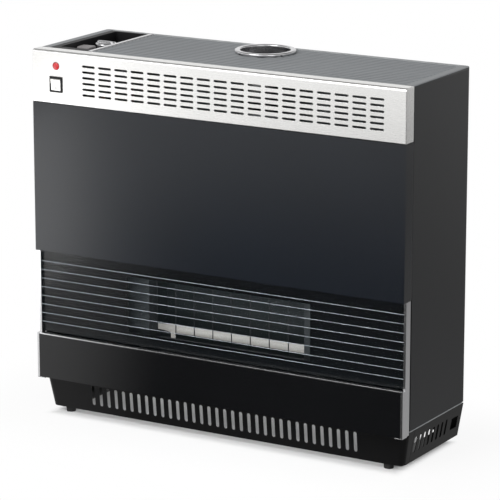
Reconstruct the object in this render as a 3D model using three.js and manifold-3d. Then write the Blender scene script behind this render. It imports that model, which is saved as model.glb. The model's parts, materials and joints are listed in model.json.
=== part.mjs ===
// Wall mounted, flued gas convector heater with a fan, in millimetres.
// X runs to the right as seen from the front, Y runs back to the wall, Z runs up from the floor.
// Every height and depth below is taken from the floor and from the front face; the whole
// scene is then shifted in Y so that its origin is under the middle of the bounding box.

import * as THREE from "three";
import { mergeGeometries, mergeVertices } from "three/addons/utils/BufferGeometryUtils.js";
import Module from "manifold-3d";

const wasm = await Module();
wasm.setup();

// ---------------------------------------------------------------- driving dimensions: casing
const caseWidth = 690; // across the side panels
const caseDepth = 222; // front face to wall plane
const sheet = 1.2; // casing sheet thickness
const seat = 0.3; // gap left between two pieces that touch
const past = 1; // how far a cutting tool runs past the face that it opens
const frontDepth = 26; // fascia, front panel and lower trim, front to back
const flangeWidth = 17; // flanges folded in on the side panels
const rearCornerRadius = 10; // rounded rear edge of the side panels
const topCornerRadius = 4; // rounded top edge of the side panels
const sidePanelLift = 3.4; // lower edge of the side panels above the plinth
const backRecess = 8; // back plate in front of the wall plane
const panLip = 4; // height of the base pan's turned-up edges
const airSlotCount = 5; // burner air slots of the base pan and the firebox
const airSlotPitch = 66;
const airSlotLength = 50;
const airSlotWidth = 12;

const bracketLength = 500; // rail that hangs the heater on the wall
const bracketDrop = 32; // its hook below the top
const bracketPlate = 36;
const bracketHook = 12;
const railHole = 2.8; // screw hole radius
const railHoleCount = 4;
const railHolePitch = 140;

const footHeight = 9;
const footRadius = 8;
const footEdge = 1.5; // chamfer round the sole
const footStud = 2.5; // stud radius
const footInsetX = 42; // from the side of the case
const footFront = 36; // front feet, behind the front face
const footFromWall = 27; // rear feet in front of the wall plane

const plinthHeight = 57;
const plinthTopInset = 1.8; // plinth top inside the case width
const plinthBottomInset = 12; // plinth bottom inside the case width
const plinthTopFront = 20; // plinth front face at its top
const plinthBottomFront = 26; // plinth front face at its bottom
const plinthFromWall = 3; // open rear of the plinth in front of the wall plane
const plinthCorner = 10; // rounded front corners
const plinthCornerSteps = 5;
const plinthFlange = 40; // width of the floor flanges under the sides
const plinthLedge = 24; // width of the top flange that carries the base pan
const plinthSeam = 47; // joint between the front and the side plates
const ventPitch = 15.1; // upright air slots of the plinth
const ventWidth = 6.2;
const ventHeight = 34;
const ventRise = 0.5; // slots sit this far above the middle of the plinth
const ventCountFront = 34;
const ventCountSide = 7;
const ventHeightSide = 27;
const ventSideFirst = 74.5; // first narrow side slot, behind the front face
const cornerVentAt = 57.5; // wide first side slot, behind the front face
const cornerVentWidth = 10;
const pipeHoleFromWall = 35; // front edge of the pipe cut-out in the plinth sides
const pipeHoleLength = 23;
const pipeHoleHeight = 20;
const pipeHoleLift = 18; // above the plinth's lower edge

// ---------------------------------------------------------------- driving dimensions: front
const trimLap = 2; // lower trim hangs below the top of the plinth
const trimHeight = 74.1;
const trimReturn = 16; // depth of the fold under the lower trim
const beadHeight = 2;
const glassHeight = 142;
const panelHeight = 251.4;
const stripHeight = 87.3;
const stripEdgeRadius = 5;
const glassFront = 10; // outer glass behind the front face
const glassThickness = 4;
const trimLip = 4; // front width of the bright end trims
const trimSideDepth = 23; // depth of the bright end trims
const trimFoot = 14; // width of the lip under the end trims

const slotColumns = 18; // warm air slots of the fascia
const slotRows = 6;
const slotPitchX = 31.15;
const slotPitchZ = 9.5;
const slotLength = 24.3;
const slotWidth = 3.6;
const slotFirstX = 109.8; // first column from the left end of the fascia
const slotTopDrop = 20.7; // first row below the top

const controlColumn = 46.4; // lamp and switch from the left end of the fascia
const lampDrop = 24.7; // lamp below the top
const lampRadius = 6.4;
const lampProud = 2.2;
const lampShoulder = 1.6; // dome past the lens's stem
const lensDepth = 7; // lens stem behind the front face
const holderFlange = 1.5; // lamp holder past the lens
const holderLength = 17;

const switchDrop = 55.2; // switch below the top
const switchWidth = 24;
const switchHeight = 26;
const switchBorder = 2.6; // visible border of the switch bezel
const switchProud = 1.6; // thickness of the bezel in front of the fascia
const switchBodyInset = 1.4; // switch body inside the outline of its bezel
const switchBodyDepth = 20;
const tabPitch = 5; // wire tabs behind the switch
const tabThickness = 2;
const tabHeight = 6;
const tabLength = 7;
const rockerTilt = 8; // degrees either side of the middle
const rockerPivotDepth = 3; // rocker pivot behind the fascia's front face
const rockerFace = 5.6; // pivot to the raised ends of the rocker
const rockerPin = 1.5; // radius of the rocker's pivot pins
const rockerRoot = 3.4; // half size of the root behind the pivot
const rockerPocket = 6; // pocket of the bezel behind the pivot
const rockerTipRoom = 1.2; // end clearance that lets the rocker tip

// ---------------------------------------------------------------- driving dimensions: top
const ribCount = 16; // ribs of the top grille
const ribWidth = 7.4;
const ribChamfer = 1.6;
const grilleHeight = 5;
const grilleWeb = 2; // cross bars under the ribs
const crossBars = 3;
const crossBarWidth = 9;

const wellMargin = 29; // control well from the side of the case
const wellWidth = 63.5;
const wellFront = 41; // behind the front face
const wellBackMargin = 5; // rim behind the well
const wellDepth = 30;
const wellWall = 1.5;
const dividerWidth = 8.7;
const dividerProud = 1.2;
const dividerLeg = 8; // leg of the divider beside the well

const flueFromWall = 56; // flue axis in front of the wall plane
const collarRadius = 50.5; // outer edge of the bright collar
const collarBore = 41; // socket for an 80 mm flue pipe
const collarProud = 5;
const collarRoll = 2; // rounding of the collar's rim
const collarSkirt = 36; // length of the collar's socket below the top
const collarSeat = 1; // solid ring of the grille inside the rim's edge
const flueWall = 1.5;
const ductSlip = 0.5; // duct inside the collar's socket
const flueSocketDepth = 17; // flue pipe stop below the top
const flueStopWidth = 4.5; // inward lip of the duct that stops the flue pipe
const hoodHeight = 92;
const hoodHalfWidth = 120;
const hoodMargin = 4; // hood inside the firebox, front and rear
const hoodSides = 24;
const hoodLevels = [0, 0.4, 0.75, 1];

// ---------------------------------------------------------------- driving dimensions: controls
const knobFromWell = 33; // knob axis from the left wall of the well
const knobBehindFront = 126;
const knobRadius = 18.5;
const knobHeight = 9; // dial disc of the knob
const knobRim = 1.2; // chamfer of the dial
const knobGripHeight = 13; // raised grip bar
const knobGripWidth = 8;
const knobGripInset = 1.5; // grip inside the dial
const knobCrest = 1; // step along the top of the grip
const knobMarkLength = 5;
const knobMarkWidth = 1.6;
const knobMarkDepth = 1.2;
const knobTravel = 3; // push travel
const knobRoom = 2; // clearance round the neck, and above it when pushed
const neckRadius = 8; // threaded neck of the gas control
const neckProud = 4; // neck above the well's floor
const sleeveRadius = 5.6; // turning sleeve in the neck
const sleeveLength = 16;
const sleeveDrop = 0.5; // sleeve below the end of the neck
const spindleRadius = 3;
const spindleFlat = 2.1; // flat of the spindle from its axis
const spindleTail = 8; // spindle below the sleeve
const turnRoom = 0.4; // radial clearance round turning and sliding pieces
const valveWidth = 58;
const valveDepth = 44;
const valveHeight = 50;
const portRadius = 9; // connections of the gas control
const portReach = 8;
const portLift = 16; // rear connection above the underside
const feedInset = 10; // burner connection from the front of the gas control
const magnetOffset = 14; // magnet cap beside the axis
const magnetReach = 9;

const igniterFromWell = 15; // igniter axis from the left wall of the well
const igniterBehindFront = 94;
const igniterWidth = 25;
const igniterDepth = 22;
const igniterHeight = 18;
const igniterEdge = 1.5; // chamfer of the button
const igniterTravel = 5;
const igniterStem = 4;
const stemShoulder = 5; // button's edge to the hole under it
const barrelRadius = 8.5;
const barrelLength = 50;
const barrelBore = 34;
const barrelNarrow = 10; // lower part of the barrel, 2 mm narrower
const barrelStep = 2;
const barrelPin = 2.5; // radius of the lead pin
const barrelPinLength = 8;

// ---------------------------------------------------------------- driving dimensions: firebox
const sightPlane = 38; // front of the inner sight frame
const sightDepth = 22.7; // depth of the frame behind that plane
const sightHalfWidth = 146.5;
const sightBottom = 147.5; // above the floor
const sightHeight = 116;
const sightFlange = 46; // width of the frame's front flanges at the sides
const sightRail = 16; // width of the front flanges above and below
const sightGlassThickness = 4;
const sightGlassLap = 12; // glass past the sight opening, each way
const wireCount = 9;
const wirePitch = 35.6;
const wireRadius = 0.9;
const wireSetback = 19; // wires behind the sight plane

const chamberHalfWidth = 182;
const chamberHeight = 300;
const chamberGap = 2.1; // firebox to the fan duct behind it
const chamberWall = 2;
const chamberDrop = 15; // firebox floor below the sight opening
const windowLap = 2; // window cut-out past the sight opening, each way
const portEdge = 6; // rim of the firebox round its top port
const finCount = 7;
const finGap = 19.5; // fins to the back plate
const finHeight = 200;
const finMargin = 30; // end fins from the sides of the firebox
const finTopDrop = 4;
const cradleInset = 4; // cradle behind the front of the firebox
const cradleRearInset = 8; // cradle in front of the rear of the firebox
const cradleRail = 8;

const burnerHalfLength = 151;
const burnerRadius = 7;
const burnerBehindFront = 95;
const burnerHeight = 154; // axis above the floor
const burnerNeck = 5; // mixing tube radius
const burnerTaper = 11; // cone from the mixing tube to the bar
const burnerTaperLap = 9; // part of that cone inside the bar's length
const burnerEnd = 2; // chamfer of the closed end
const mouthReach = 9; // mixing tube past the firebox wall
const mouthFlare = 3;
const mouthLength = 6;
const mouthWall = 1.5;
const mouthDepth = 11;
const saddleThickness = 2;
const saddleInset = 16; // saddles from the ends of the bar
const flamePortCount = 12;
const flamePortLength = 6; // across the bar
const flamePortWidth = 1.4;
const flamePortDepth = 1.6;
const flamePortMargin = 22; // first port from the end of the bar

const jetGap = 12; // shoulder of the jet from the firebox wall
const jetRoom = 0.7; // jet inside the burner's mouth
const jetReach = 4.5;
const jetBody = 6; // radius of the jet's body
const jetNut = 9; // radius of its nut
const jetNutFront = 3;
const jetNutRear = 10;
const jetLength = 26;

const pilotFromBurner = 12; // pilot group beyond the burner's end
const pilotPitch = 13;
const pilotHole = 3.5; // hole radius of the pilot group's stems
const pilotStemRoom = 0.5;
const pilotTail = 16; // stems below the firebox floor
const pilotFlange = 5; // radius of the flange on the firebox floor
const pilotFlangeHeight = 3;
const pilotRise = 6; // tips above the burner's axis
const pilotTube = 3.6;
const pilotHood = 4.6;
const pilotHoodHeight = 4;
const electrodeBody = 3.2; // radius of the ceramic
const electrodeTip = 1;
const electrodeTipLength = 11;
const couplePin = 2.4;
const coupleTip = 1.4;
const coupleTipLength = 3;

// ---------------------------------------------------------------- driving dimensions: pipes
const riserFromWall = 24; // gas riser in front of the wall plane
const riserRadius = 8;
const riserRise = 12; // riser above the base pan
const unionFromSide = 27; // face of the supply union from the side of the case
const unionNut = 12; // radius of its nut
const unionNutSetback = 8;
const unionNutLength = 12;
const unionBore = 5;
const unionBoreDepth = 24;
const elbowFlangeWidth = 36;
const elbowFlangeDepth = 20;
const elbowFlangeThickness = 3;
const inletPipeRadius = 6;
const inletRise = 90; // straight pipe at both ends of the rise
const inletTurn = 30; // height over which it turns forwards
const inletSteps = 16; // rings along the pipe
const feedPipeRadius = 4.5;
const feedDrop = 60; // straight pipe under the gas control
const feedBow = 160; // the pipe starts its bow this far above the burner
const feedTurn = 50; // height over which it turns to the jet
const feedLead = 8; // straight pipe behind the jet
const feedSteps = 18;
const pilotPipeRadius = 2;
const pilotDrop = 60; // straight pipe above and below its slant
const pilotTurn = 14; // length over which it turns under the firebox
const pilotSteps = 26;
const pipeEase = 4; // sideways step at the start or end of a bend
const pilotOffset = 20; // pilot connection beside the axis of the gas control
const pilotRunDrop = 22; // pilot pipe outside the firebox's floor and wall
const pilotRunBack = 22; // pilot pipe behind the burner
const pilotPass = 6; // hole radius of the cradle's leg

// ---------------------------------------------------------------- driving dimensions: fan
const fanRadius = 26;
const fanFromWall = 41; // fan axis in front of the wall plane
const fanHeight = 101; // axis above the floor
const fanHalfLength = 188;
const fanEndRoom = 8; // rotor's end to the housing's end plate
const fanBladeCount = 15;
const fanBladeDepth = 6;
const fanBladeLean = 1.1; // stretch of the blade's curve towards the axis
const fanBlade = 0.9;
const fanDisc = 1.6; // thickness of the rotor's end discs
const fanShaft = 4;
const fanClearance = 4; // blade tips to housing
const fanTongue = 1; // duct's front wall inside the scroll's radius
const fanTongueLip = 7; // lip at the foot of that wall
const fanTongueLow = 10; // lip above the fan's axis
const fanTongueBend = 20; // bend above the fan's axis
const fanDuctTop = 200;
const fanInletFront = 34; // air inlet of the base pan, from the fan axis forwards
const fanInletMargin = 6; // air inlet inside the rotor's length
const fanRailY = 4; // foot of the housing behind the fan axis
const fanRailWidth = 14;
const scrollFrom = -80; // degrees from the wall side, round the fan's axis
const plateFrom = -150; // degrees at which the end plates start

const motorWidth = 56;
const motorHeight = 44.8;
const motorLength = 26;
const motorGap = 6; // motor to the end plate
const motorBoss = 4;
const motorShaft = 6; // shaft past the motor
const standoffRadius = 3;
const standoffInset = 8; // standoffs from the corners of the motor
const coilWidth = 24;
const coilHeight = 16;
const coilRecess = 10; // coil let into the motor's lower side
const coilRear = 7; // coil past the motor, away from the fan
const coilFront = 2;
const bushRadius = 9;
const bushRoom = 0.4; // bush and boss inside the end plates' holes
const bushFlange = 5;
const bushFlangeThickness = 4;

// ---------------------------------------------------------------- driving dimensions: mains
const cableFromSide = 55; // cable gland from the right side of the case
const cableZ = 112;
const cableHole = 8;
const terminalWidth = 60;
const terminalDepth = 36;
const terminalHeight = 22;
const terminalOffset = 5; // middle of the terminal box beside the gland
const glandBore = 3;
const glandTail = 6;
const glandNut = 2.5; // nut past the neck
const glandLip = 1.5; // outer lip past the neck
const glandReach = 4;
const glandSides = 10;

// ---------------------------------------------------------------- facets
const round = 14; // facets of an ordinary round piece
const small = 8; // facets of a small round piece
const wide = 30; // facets of the flue pieces
const dialSides = 28;
const pipeSides = 6;
const slotEnd = 2; // facets of a slot's half-round end
const gripEnd = 5;

// ---------------------------------------------------------------- derived places: casing
const halfWidth = caseWidth / 2;
const plinthBottom = footHeight;
const plinthTop = plinthBottom + plinthHeight;
const plinthRear = caseDepth - plinthFromWall;
const ventZ = plinthBottom + plinthHeight / 2 + ventRise;
const pipeHoleFront = caseDepth - pipeHoleFromWall;
const pipeHoleZ = plinthBottom + pipeHoleLift;
const trimBottom = plinthTop - trimLap;
const trimTop = trimBottom + trimHeight;
const trimHalf = halfWidth - trimLip - seat;
const beadTop = trimTop + seat + beadHeight;
const glassBottom = beadTop + seat;
const glassTop = glassBottom + glassHeight;
const panelBottom = glassTop + seat;
const panelTop = panelBottom + panelHeight;
const stripBottom = panelTop + seat;
const caseTop = stripBottom + stripHeight;
const casingFront = frontDepth + seat; // front of the side panels
const casingBottom = plinthTop + sidePanelLift;
const panelInner = halfWidth - sheet; // inside of the side panels
const glassHalf = panelInner - seat;
const flangeInner = halfWidth - flangeWidth;
const backPlateRear = caseDepth - backRecess;
const backPlateFront = backPlateRear - sheet;
const topFieldRear = backPlateFront - seat; // rear edge of the grille and the well
const panBottom = plinthTop + seat;
const panTop = panBottom + sheet;
const footX = halfWidth - footInsetX;
const footRear = caseDepth - footFromWall;

// ---------------------------------------------------------------- derived places: top
const wellLeft = -halfWidth + wellMargin;
const wellRight = wellLeft + wellWidth;
const wellRear = topFieldRear - wellBackMargin;
const wellFloor = caseTop - wellDepth;
const belowWell = -wellWall - seat; // seat of the controls, from the well's floor
const dividerRight = wellRight + dividerWidth;
const grilleLeft = dividerRight + seat;
const grilleRight = flangeInner - seat;
const grilleLow = caseTop - grilleHeight;
const ribPitch = (topFieldRear - casingFront - ribWidth) / (ribCount - 1);
const collarSocket = collarBore + flueWall; // outside of the collar's socket
const ductRadius = collarBore - ductSlip;
const flueY = caseDepth - flueFromWall;

// ---------------------------------------------------------------- derived places: controls
const controlX = -halfWidth + controlColumn;
const lampZ = caseTop - lampDrop;
const lensStem = lampRadius - lampShoulder;
const holderFront = sheet + seat;
const switchZ = caseTop - switchDrop;
const rockerFloor = rockerPivotDepth + rockerPocket;
const tiltSine = Math.sin(THREE.MathUtils.degToRad(rockerTilt));
const tiltCosine = Math.cos(THREE.MathUtils.degToRad(rockerTilt));
const rockerHalf = switchHeight / 2 - switchBorder - rockerTipRoom;
const rockerProud = rockerFace * tiltCosine + rockerHalf * tiltSine - rockerPivotDepth;
const knobX = wellLeft + knobFromWell;
const knobLift = knobTravel + knobRoom + past; // rest height of the knob above the well's floor
const spindleTop = knobLift + knobHeight;
const sleeveLow = neckProud - sleeveLength;
const spindleLow = sleeveLow - spindleTail;
const valveUnder = belowWell - valveHeight; // underside of the gas control, from the well's floor
const burnerFeedY = feedInset - valveDepth / 2;
const igniterX = wellLeft + igniterFromWell;
const igniterLift = igniterTravel + past; // rest height of the button above the well's floor

// ---------------------------------------------------------------- derived places: fan and firebox
const fanY = caseDepth - fanFromWall;
const scrollRadius = fanRadius + fanClearance;
const fanTongueY = fanTongue - scrollRadius;
const fanDuctFront = fanY + fanTongueY - sheet / 2; // front of the fan duct
const housingHalf = fanHalfLength + fanEndRoom;
const motorNear = -housingHalf - motorGap;
const motorFar = motorNear - motorLength;
const motorUnder = -motorHeight / 2;

const sightTop = sightBottom + sightHeight;
const sightRear = sightPlane + sightDepth;
const sightInner = sightHalfWidth - seat;
const chamberFront = sightRear + 2 * seat + sightGlassThickness;
const chamberRear = fanDuctFront - chamberGap;
const chamberMiddle = (chamberFront + chamberRear) / 2;
const chamberBottom = sightBottom - chamberDrop;
const chamberFloor = chamberBottom + chamberWall;
const chamberTop = chamberBottom + chamberHeight;
const finRear = backPlateFront - finGap;
const hoodHalfDepth = (chamberRear - chamberFront) / 2 - hoodMargin;
const ductBottom = chamberTop + 2 * seat + hoodHeight;
const burnerMouth = chamberHalfWidth + mouthReach;
const jetX = -chamberHalfWidth - jetGap;
const pilotX = burnerHalfLength + pilotFromBurner;
const pilotTip = burnerHeight - chamberFloor + pilotRise; // height of the pilot group
const pilotStem = pilotHole - pilotStemRoom;

// ---------------------------------------------------------------- derived places: pipes and mains
const inletX = knobX; // gas riser under the gas control
const inletY = caseDepth - riserFromWall;
const inletZ = pipeHoleZ + pipeHoleHeight / 2;
const riserTop = panTop + riserRise;
const unionX = -halfWidth + unionFromSide - inletX;
const valveLow = wellFloor + valveUnder;
const valvePortZ = valveLow + portLift;
const valveRearPort = knobBehindFront + valveDepth / 2 + portReach + seat;
const feedY = knobBehindFront + burnerFeedY;
const jetRear = jetX - jetLength - seat;
const pilotRunY = burnerBehindFront + pilotRunBack;
const pilotRunZ = chamberBottom - pilotRunDrop;
const pilotLeft = -chamberHalfWidth - pilotRunDrop;
const cableX = halfWidth - cableFromSide;
const terminalX = cableX - terminalOffset;
const terminalRear = backPlateFront - seat - sheet - seat; // in front of the base pan's rear edge
const glandNeck = cableHole - 2 * seat;
const glandSeat = seat + 0.1; // nut in front of the back plate

// ---------------------------------------------------------------- shape helpers
function solidOf(geometry) {
  const bare = geometry.clone();
  bare.deleteAttribute("normal");
  bare.deleteAttribute("uv");
  const merged = mergeVertices(bare, 1e-4);
  const vertProperties = new Float32Array(merged.attributes.position.array);
  const triVerts = new Uint32Array(merged.index.array);
  return new wasm.Manifold(new wasm.Mesh({ numProp: 3, vertProperties, triVerts }));
}

function geometryOf(solid) {
  const mesh = solid.getMesh();
  const position = new THREE.BufferAttribute(new Float32Array(mesh.vertProperties), 3);
  const geometry = new THREE.BufferGeometry();
  geometry.setAttribute("position", position);
  geometry.setIndex(new THREE.BufferAttribute(new Uint32Array(mesh.triVerts), 1));
  geometry.computeVertexNormals();
  return geometry;
}

function join(first, ...others) {
  const whole = others.reduce((solid, next) => solid.add(solidOf(next)), solidOf(first));
  return geometryOf(whole);
}

function cut(body, ...tools) {
  const rest = tools.reduce((solid, tool) => solid.subtract(solidOf(tool)), solidOf(body));
  return geometryOf(rest);
}

function common(first, second) {
  return geometryOf(solidOf(first).intersect(solidOf(second)));
}

function mirrorX(geometry) {
  return geometryOf(solidOf(geometry).mirror([1, 0, 0]));
}

// Copies of one tool at several offsets, which must not touch each other.
function copies(geometry, offsets) {
  return mergeGeometries(offsets.map(([x, y, z]) => geometry.clone().translate(x, y, z)));
}

// Offsets of an even row along X, centred on a place.
function rowX(count, pitch, y = 0, z = 0) {
  const middle = (count - 1) / 2;
  return Array.from({ length: count }, (_, i) => [(i - middle) * pitch, y, z]);
}

function box(x0, x1, y0, y1, z0, z1) {
  const geometry = new THREE.BoxGeometry(x1 - x0, y1 - y0, z1 - z0);
  return geometry.translate((x0 + x1) / 2, (y0 + y1) / 2, (z0 + z1) / 2);
}

// Arcs in the outline get the given number of facets each.
function prism(shape, depth, facets) {
  return new THREE.ExtrudeGeometry(shape, { depth, bevelEnabled: false, curveSegments: facets / 2 });
}

const alongX = new THREE.Matrix4().makeBasis(
  new THREE.Vector3(0, 1, 0), new THREE.Vector3(0, 0, 1), new THREE.Vector3(1, 0, 0));
const alongY = new THREE.Matrix4().makeBasis(
  new THREE.Vector3(1, 0, 0), new THREE.Vector3(0, 0, 1), new THREE.Vector3(0, -1, 0));

// An outline drawn in (Y, Z) and pulled along X.
function prismX(shape, x0, x1, facets = 4) {
  return prism(shape, x1 - x0, facets).applyMatrix4(alongX).translate(x0, 0, 0);
}

// An outline drawn in (X, Z) and pulled along Y.
function prismY(shape, y0, y1, facets = 4) {
  return prism(shape, y1 - y0, facets).applyMatrix4(alongY).translate(0, y1, 0);
}

// An outline drawn in (X, Y) and pulled along Z.
function prismZ(shape, z0, z1, facets = 4) {
  return prism(shape, z1 - z0, facets).translate(0, 0, z0);
}

// A profile of [radius, height] points turned round Z. It starts and ends on the axis, or closes.
function turned(profile, sides = round) {
  const points = profile.map(([radius, height]) => new THREE.Vector2(radius, height));
  return new THREE.LatheGeometry(points, sides).rotateX(Math.PI / 2);
}

// The same profile with its heights running forwards, against Y.
function turnedForward(profile, sides = round) {
  return turned(profile, sides).rotateX(Math.PI / 2);
}

function disc(radius, z0, z1, sides = round) {
  return turned([[0, z0], [radius, z0], [radius, z1], [0, z1]], sides);
}

function ring(outer, inner, z0, z1, sides = round) {
  return turned([[inner, z0], [outer, z0], [outer, z1], [inner, z1], [inner, z0]], sides);
}

function discAlongX(radius, x0, x1, sides = round) {
  return disc(radius, x0, x1, sides).rotateY(Math.PI / 2);
}

function discAlongY(radius, y0, y1, sides = round) {
  return disc(radius, y0, y1, sides).rotateX(-Math.PI / 2);
}

// A straight slot with half-round ends, centred on the origin, long side along the first axis.
function slotShape(length, width) {
  const reach = (length - width) / 2;
  const shape = new THREE.Shape();
  shape.absarc(reach, 0, width / 2, -Math.PI / 2, Math.PI / 2);
  shape.absarc(-reach, 0, width / 2, Math.PI / 2, 1.5 * Math.PI);
  return shape;
}

// A circle with a flat on its right-hand side.
function dShape(radius, flat) {
  const half = Math.acos(flat / radius);
  const shape = new THREE.Shape();
  shape.absarc(0, 0, radius, half, 2 * Math.PI - half);
  return shape;
}

function polygon(points) {
  return new THREE.Shape(points.map(([a, b]) => new THREE.Vector2(a, b)));
}

// Points of an arc, from one angle in degrees to another.
function arcLine(radius, from, to, steps) {
  return Array.from({ length: steps + 1 }, (_, i) => {
    const turn = THREE.MathUtils.degToRad(from + ((to - from) * i) / steps);
    return [radius * Math.cos(turn), radius * Math.sin(turn)];
  });
}

// A sheet of even thickness, bent along a line of [a, b] points.
function sheetShape(points, thickness) {
  const line = points.map(([a, b]) => new THREE.Vector2(a, b));
  const normals = line.slice(1).map((point, i) => {
    const along = point.clone().sub(line[i]).normalize();
    return new THREE.Vector2(-along.y, along.x);
  });
  const offset = (side) => line.map((point, i) => {
    const before = normals[Math.max(i - 1, 0)];
    const after = normals[Math.min(i, normals.length - 1)];
    const middle = before.clone().add(after).normalize();
    return point.clone().addScaledVector(middle, (side * thickness) / 2 / middle.dot(after));
  });
  return new THREE.Shape([...offset(-1), ...offset(1).reverse()]);
}

// A closed skin over a stack of outlines that all have the same number of points.
function loft(sections) {
  const count = sections[0].length;
  const position = sections.flat().flatMap((point) => point.toArray());
  const index = [];
  for (let level = 0; level + 1 < sections.length; level += 1) {
    for (let i = 0; i < count; i += 1) {
      const a = level * count + i;
      const b = level * count + ((i + 1) % count);
      index.push(a, b, b + count, a, b + count, a + count);
    }
  }
  const last = (sections.length - 1) * count;
  for (let i = 1; i + 1 < count; i += 1) {
    index.push(0, i + 1, i);
    index.push(last, last + i, last + i + 1);
  }
  const geometry = new THREE.BufferGeometry();
  geometry.setAttribute("position", new THREE.Float32BufferAttribute(position, 3));
  geometry.setIndex(index);
  geometry.computeVertexNormals();
  return geometry;
}

// A round pipe along a smooth line through the given points.
function pipe(points, radius, steps) {
  const path = new THREE.CatmullRomCurve3(points.map((point) => new THREE.Vector3(...point)));
  const section = new THREE.Shape();
  section.absarc(0, 0, radius, 0, 2 * Math.PI);
  return new THREE.ExtrudeGeometry(section, { steps, extrudePath: path, curveSegments: pipeSides / 2 });
}

// A tray folded from one sheet, open at the back.
function tray(x0, x1, y1, z0, z1) {
  const hollow = box(x0 + sheet, x1 - sheet, sheet, y1 + past, z0 + sheet, z1 - sheet);
  return cut(box(x0, x1, 0, y1, z0, z1), hollow);
}

// ---------------------------------------------------------------- materials
function finish(color, roughness, metalness, extra = {}) {
  return new THREE.MeshStandardMaterial({ color, roughness, metalness, ...extra });
}

const stainless = finish(0xe2e1df, 0.34, 1);
const bright = finish(0xd8d9db, 0.12, 1);
const satinBlack = finish(0x24272b, 0.45, 0.1);
const glossBlack = finish(0x0c0d0f, 0.15, 0);
const caseGrey = finish(0x2f3134, 0.5, 0.1);
const topGrey = finish(0x74797c, 0.55, 0.1);
const blackPlastic = finish(0x0a0a0b, 0.5, 0);
const whitePlastic = finish(0xf1f0ee, 0.35, 0);
const greyPlastic = finish(0x94918f, 0.45, 0);
const redLens = finish(0xc62a30, 0.25, 0);
const tintGlass = finish(0x0f1518, 0.05, 0, { transparent: true, opacity: 0.5 });
const clearGlass = finish(0xa8c4ba, 0.05, 0, { transparent: true, opacity: 0.3 });
const zinc = finish(0xa9adb0, 0.45, 0.9);
const heatSteel = finish(0x3b3d3f, 0.6, 0.6);
const burnerSteel = finish(0xf2f4f2, 0.3, 1);
const castAlloy = finish(0x9b9da0, 0.5, 0.8);
const brass = finish(0xb08d45, 0.35, 1);
const copper = finish(0xb36b45, 0.35, 1);
const rubber = finish(0x111112, 0.9, 0);
const whiteCeramic = finish(0xe6e2d8, 0.4, 0);

// ---------------------------------------------------------------- scene
const heater = new THREE.Group();
heater.position.y = (rockerProud - caseDepth) / 2;

function addPart(parent, name, material, geometry, x = 0, y = 0, z = 0) {
  const mesh = new THREE.Mesh(geometry, material);
  mesh.name = name;
  mesh.position.set(x, y, z);
  parent.add(mesh);
}

function addGroup(x, y, z) {
  const group = new THREE.Group();
  group.position.set(x, y, z);
  heater.add(group);
  return group;
}

// ---------------------------------------------------------------- casing
// The right-hand side panel: one sheet with a rounded top and rear edge and flanges folded in.
function sidePanelBlock(skin, zLow) {
  const inner = flangeInner - skin;
  const outer = halfWidth - skin;
  const rearX = halfWidth - rearCornerRadius;
  const rearY = caseDepth - rearCornerRadius;
  const plan = new THREE.Shape();
  plan.moveTo(inner, casingFront + skin);
  plan.lineTo(outer, casingFront + skin);
  plan.absarc(rearX, rearY, rearCornerRadius - skin, 0, Math.PI / 2);
  plan.lineTo(inner, caseDepth - skin);
  const topX = halfWidth - topCornerRadius;
  const topZ = caseTop - topCornerRadius;
  const elevation = new THREE.Shape();
  elevation.moveTo(inner, zLow);
  elevation.lineTo(outer, zLow);
  elevation.absarc(topX, topZ, topCornerRadius - skin, 0, Math.PI / 2);
  elevation.lineTo(inner, caseTop - skin);
  return common(prismZ(plan, zLow, caseTop), prismY(elevation, 0, caseDepth));
}

function sidePanel() {
  return cut(sidePanelBlock(0, casingBottom), sidePanelBlock(sheet, casingBottom - past));
}

function backPanel() {
  const half = flangeInner - seat;
  const inner = half - sheet;
  const pan = box(-half, half, backPlateFront, caseDepth, casingBottom, caseTop);
  const hollow = box(-inner, inner, backPlateRear, caseDepth + past, casingBottom + sheet, caseTop - sheet);
  const hole = discAlongY(cableHole, backPlateFront - past, caseDepth).translate(cableX, 0, cableZ);
  return cut(pan, hollow, hole);
}

// Burner air slots through a level sheet, shared by the base pan and the firebox floor.
function airSlots(z0, z1) {
  const slot = prismZ(slotShape(airSlotLength, airSlotWidth), z0 - past, z1 + past, slotEnd);
  return copies(slot, rowX(airSlotCount, airSlotPitch, burnerBehindFront));
}

function basePan() {
  const half = panelInner - seat;
  const front = casingFront + sheet + seat;
  const rear = backPlateFront - seat;
  const lipTop = panTop + panLip;
  const pan = box(-half, half, front, rear, panBottom, lipTop);
  const hollow = box(-half + sheet, half - sheet, front - past, rear - sheet, panTop, lipTop + past);
  const inletHalf = fanHalfLength - fanInletMargin;
  const fanInlet = box(-inletHalf, inletHalf, fanY - fanInletFront, fanY + fanRailY - seat,
    panBottom - past, panTop + past);
  const riserHole = disc(riserRadius + past, panBottom - past, panTop + past);
  return cut(pan, hollow, fanInlet, airSlots(panBottom, panTop), riserHole.translate(inletX, inletY, 0));
}

function wallRail() {
  const hookZ = caseTop - bracketDrop;
  const wallSide = caseDepth - sheet / 2;
  const hookSide = backPlateRear + seat + sheet / 2;
  const line = [[wallSide, hookZ - bracketPlate], [wallSide, hookZ], [hookSide, hookZ],
    [hookSide, hookZ + bracketHook]];
  const rail = prismX(sheetShape(line, sheet), -bracketLength / 2, bracketLength / 2);
  const hole = discAlongY(railHole, backPlateRear, caseDepth + past, small);
  return cut(rail, copies(hole, rowX(railHoleCount, railHolePitch, 0, hookZ - bracketPlate / 2)));
}

const sideShell = sidePanel();
addPart(heater, "side_panel_right", caseGrey, sideShell);
addPart(heater, "side_panel_left", caseGrey, mirrorX(sideShell));
addPart(heater, "back_panel", zinc, backPanel());
addPart(heater, "base_pan", zinc, basePan());
addPart(heater, "wall_bracket", zinc, wallRail());

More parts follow.
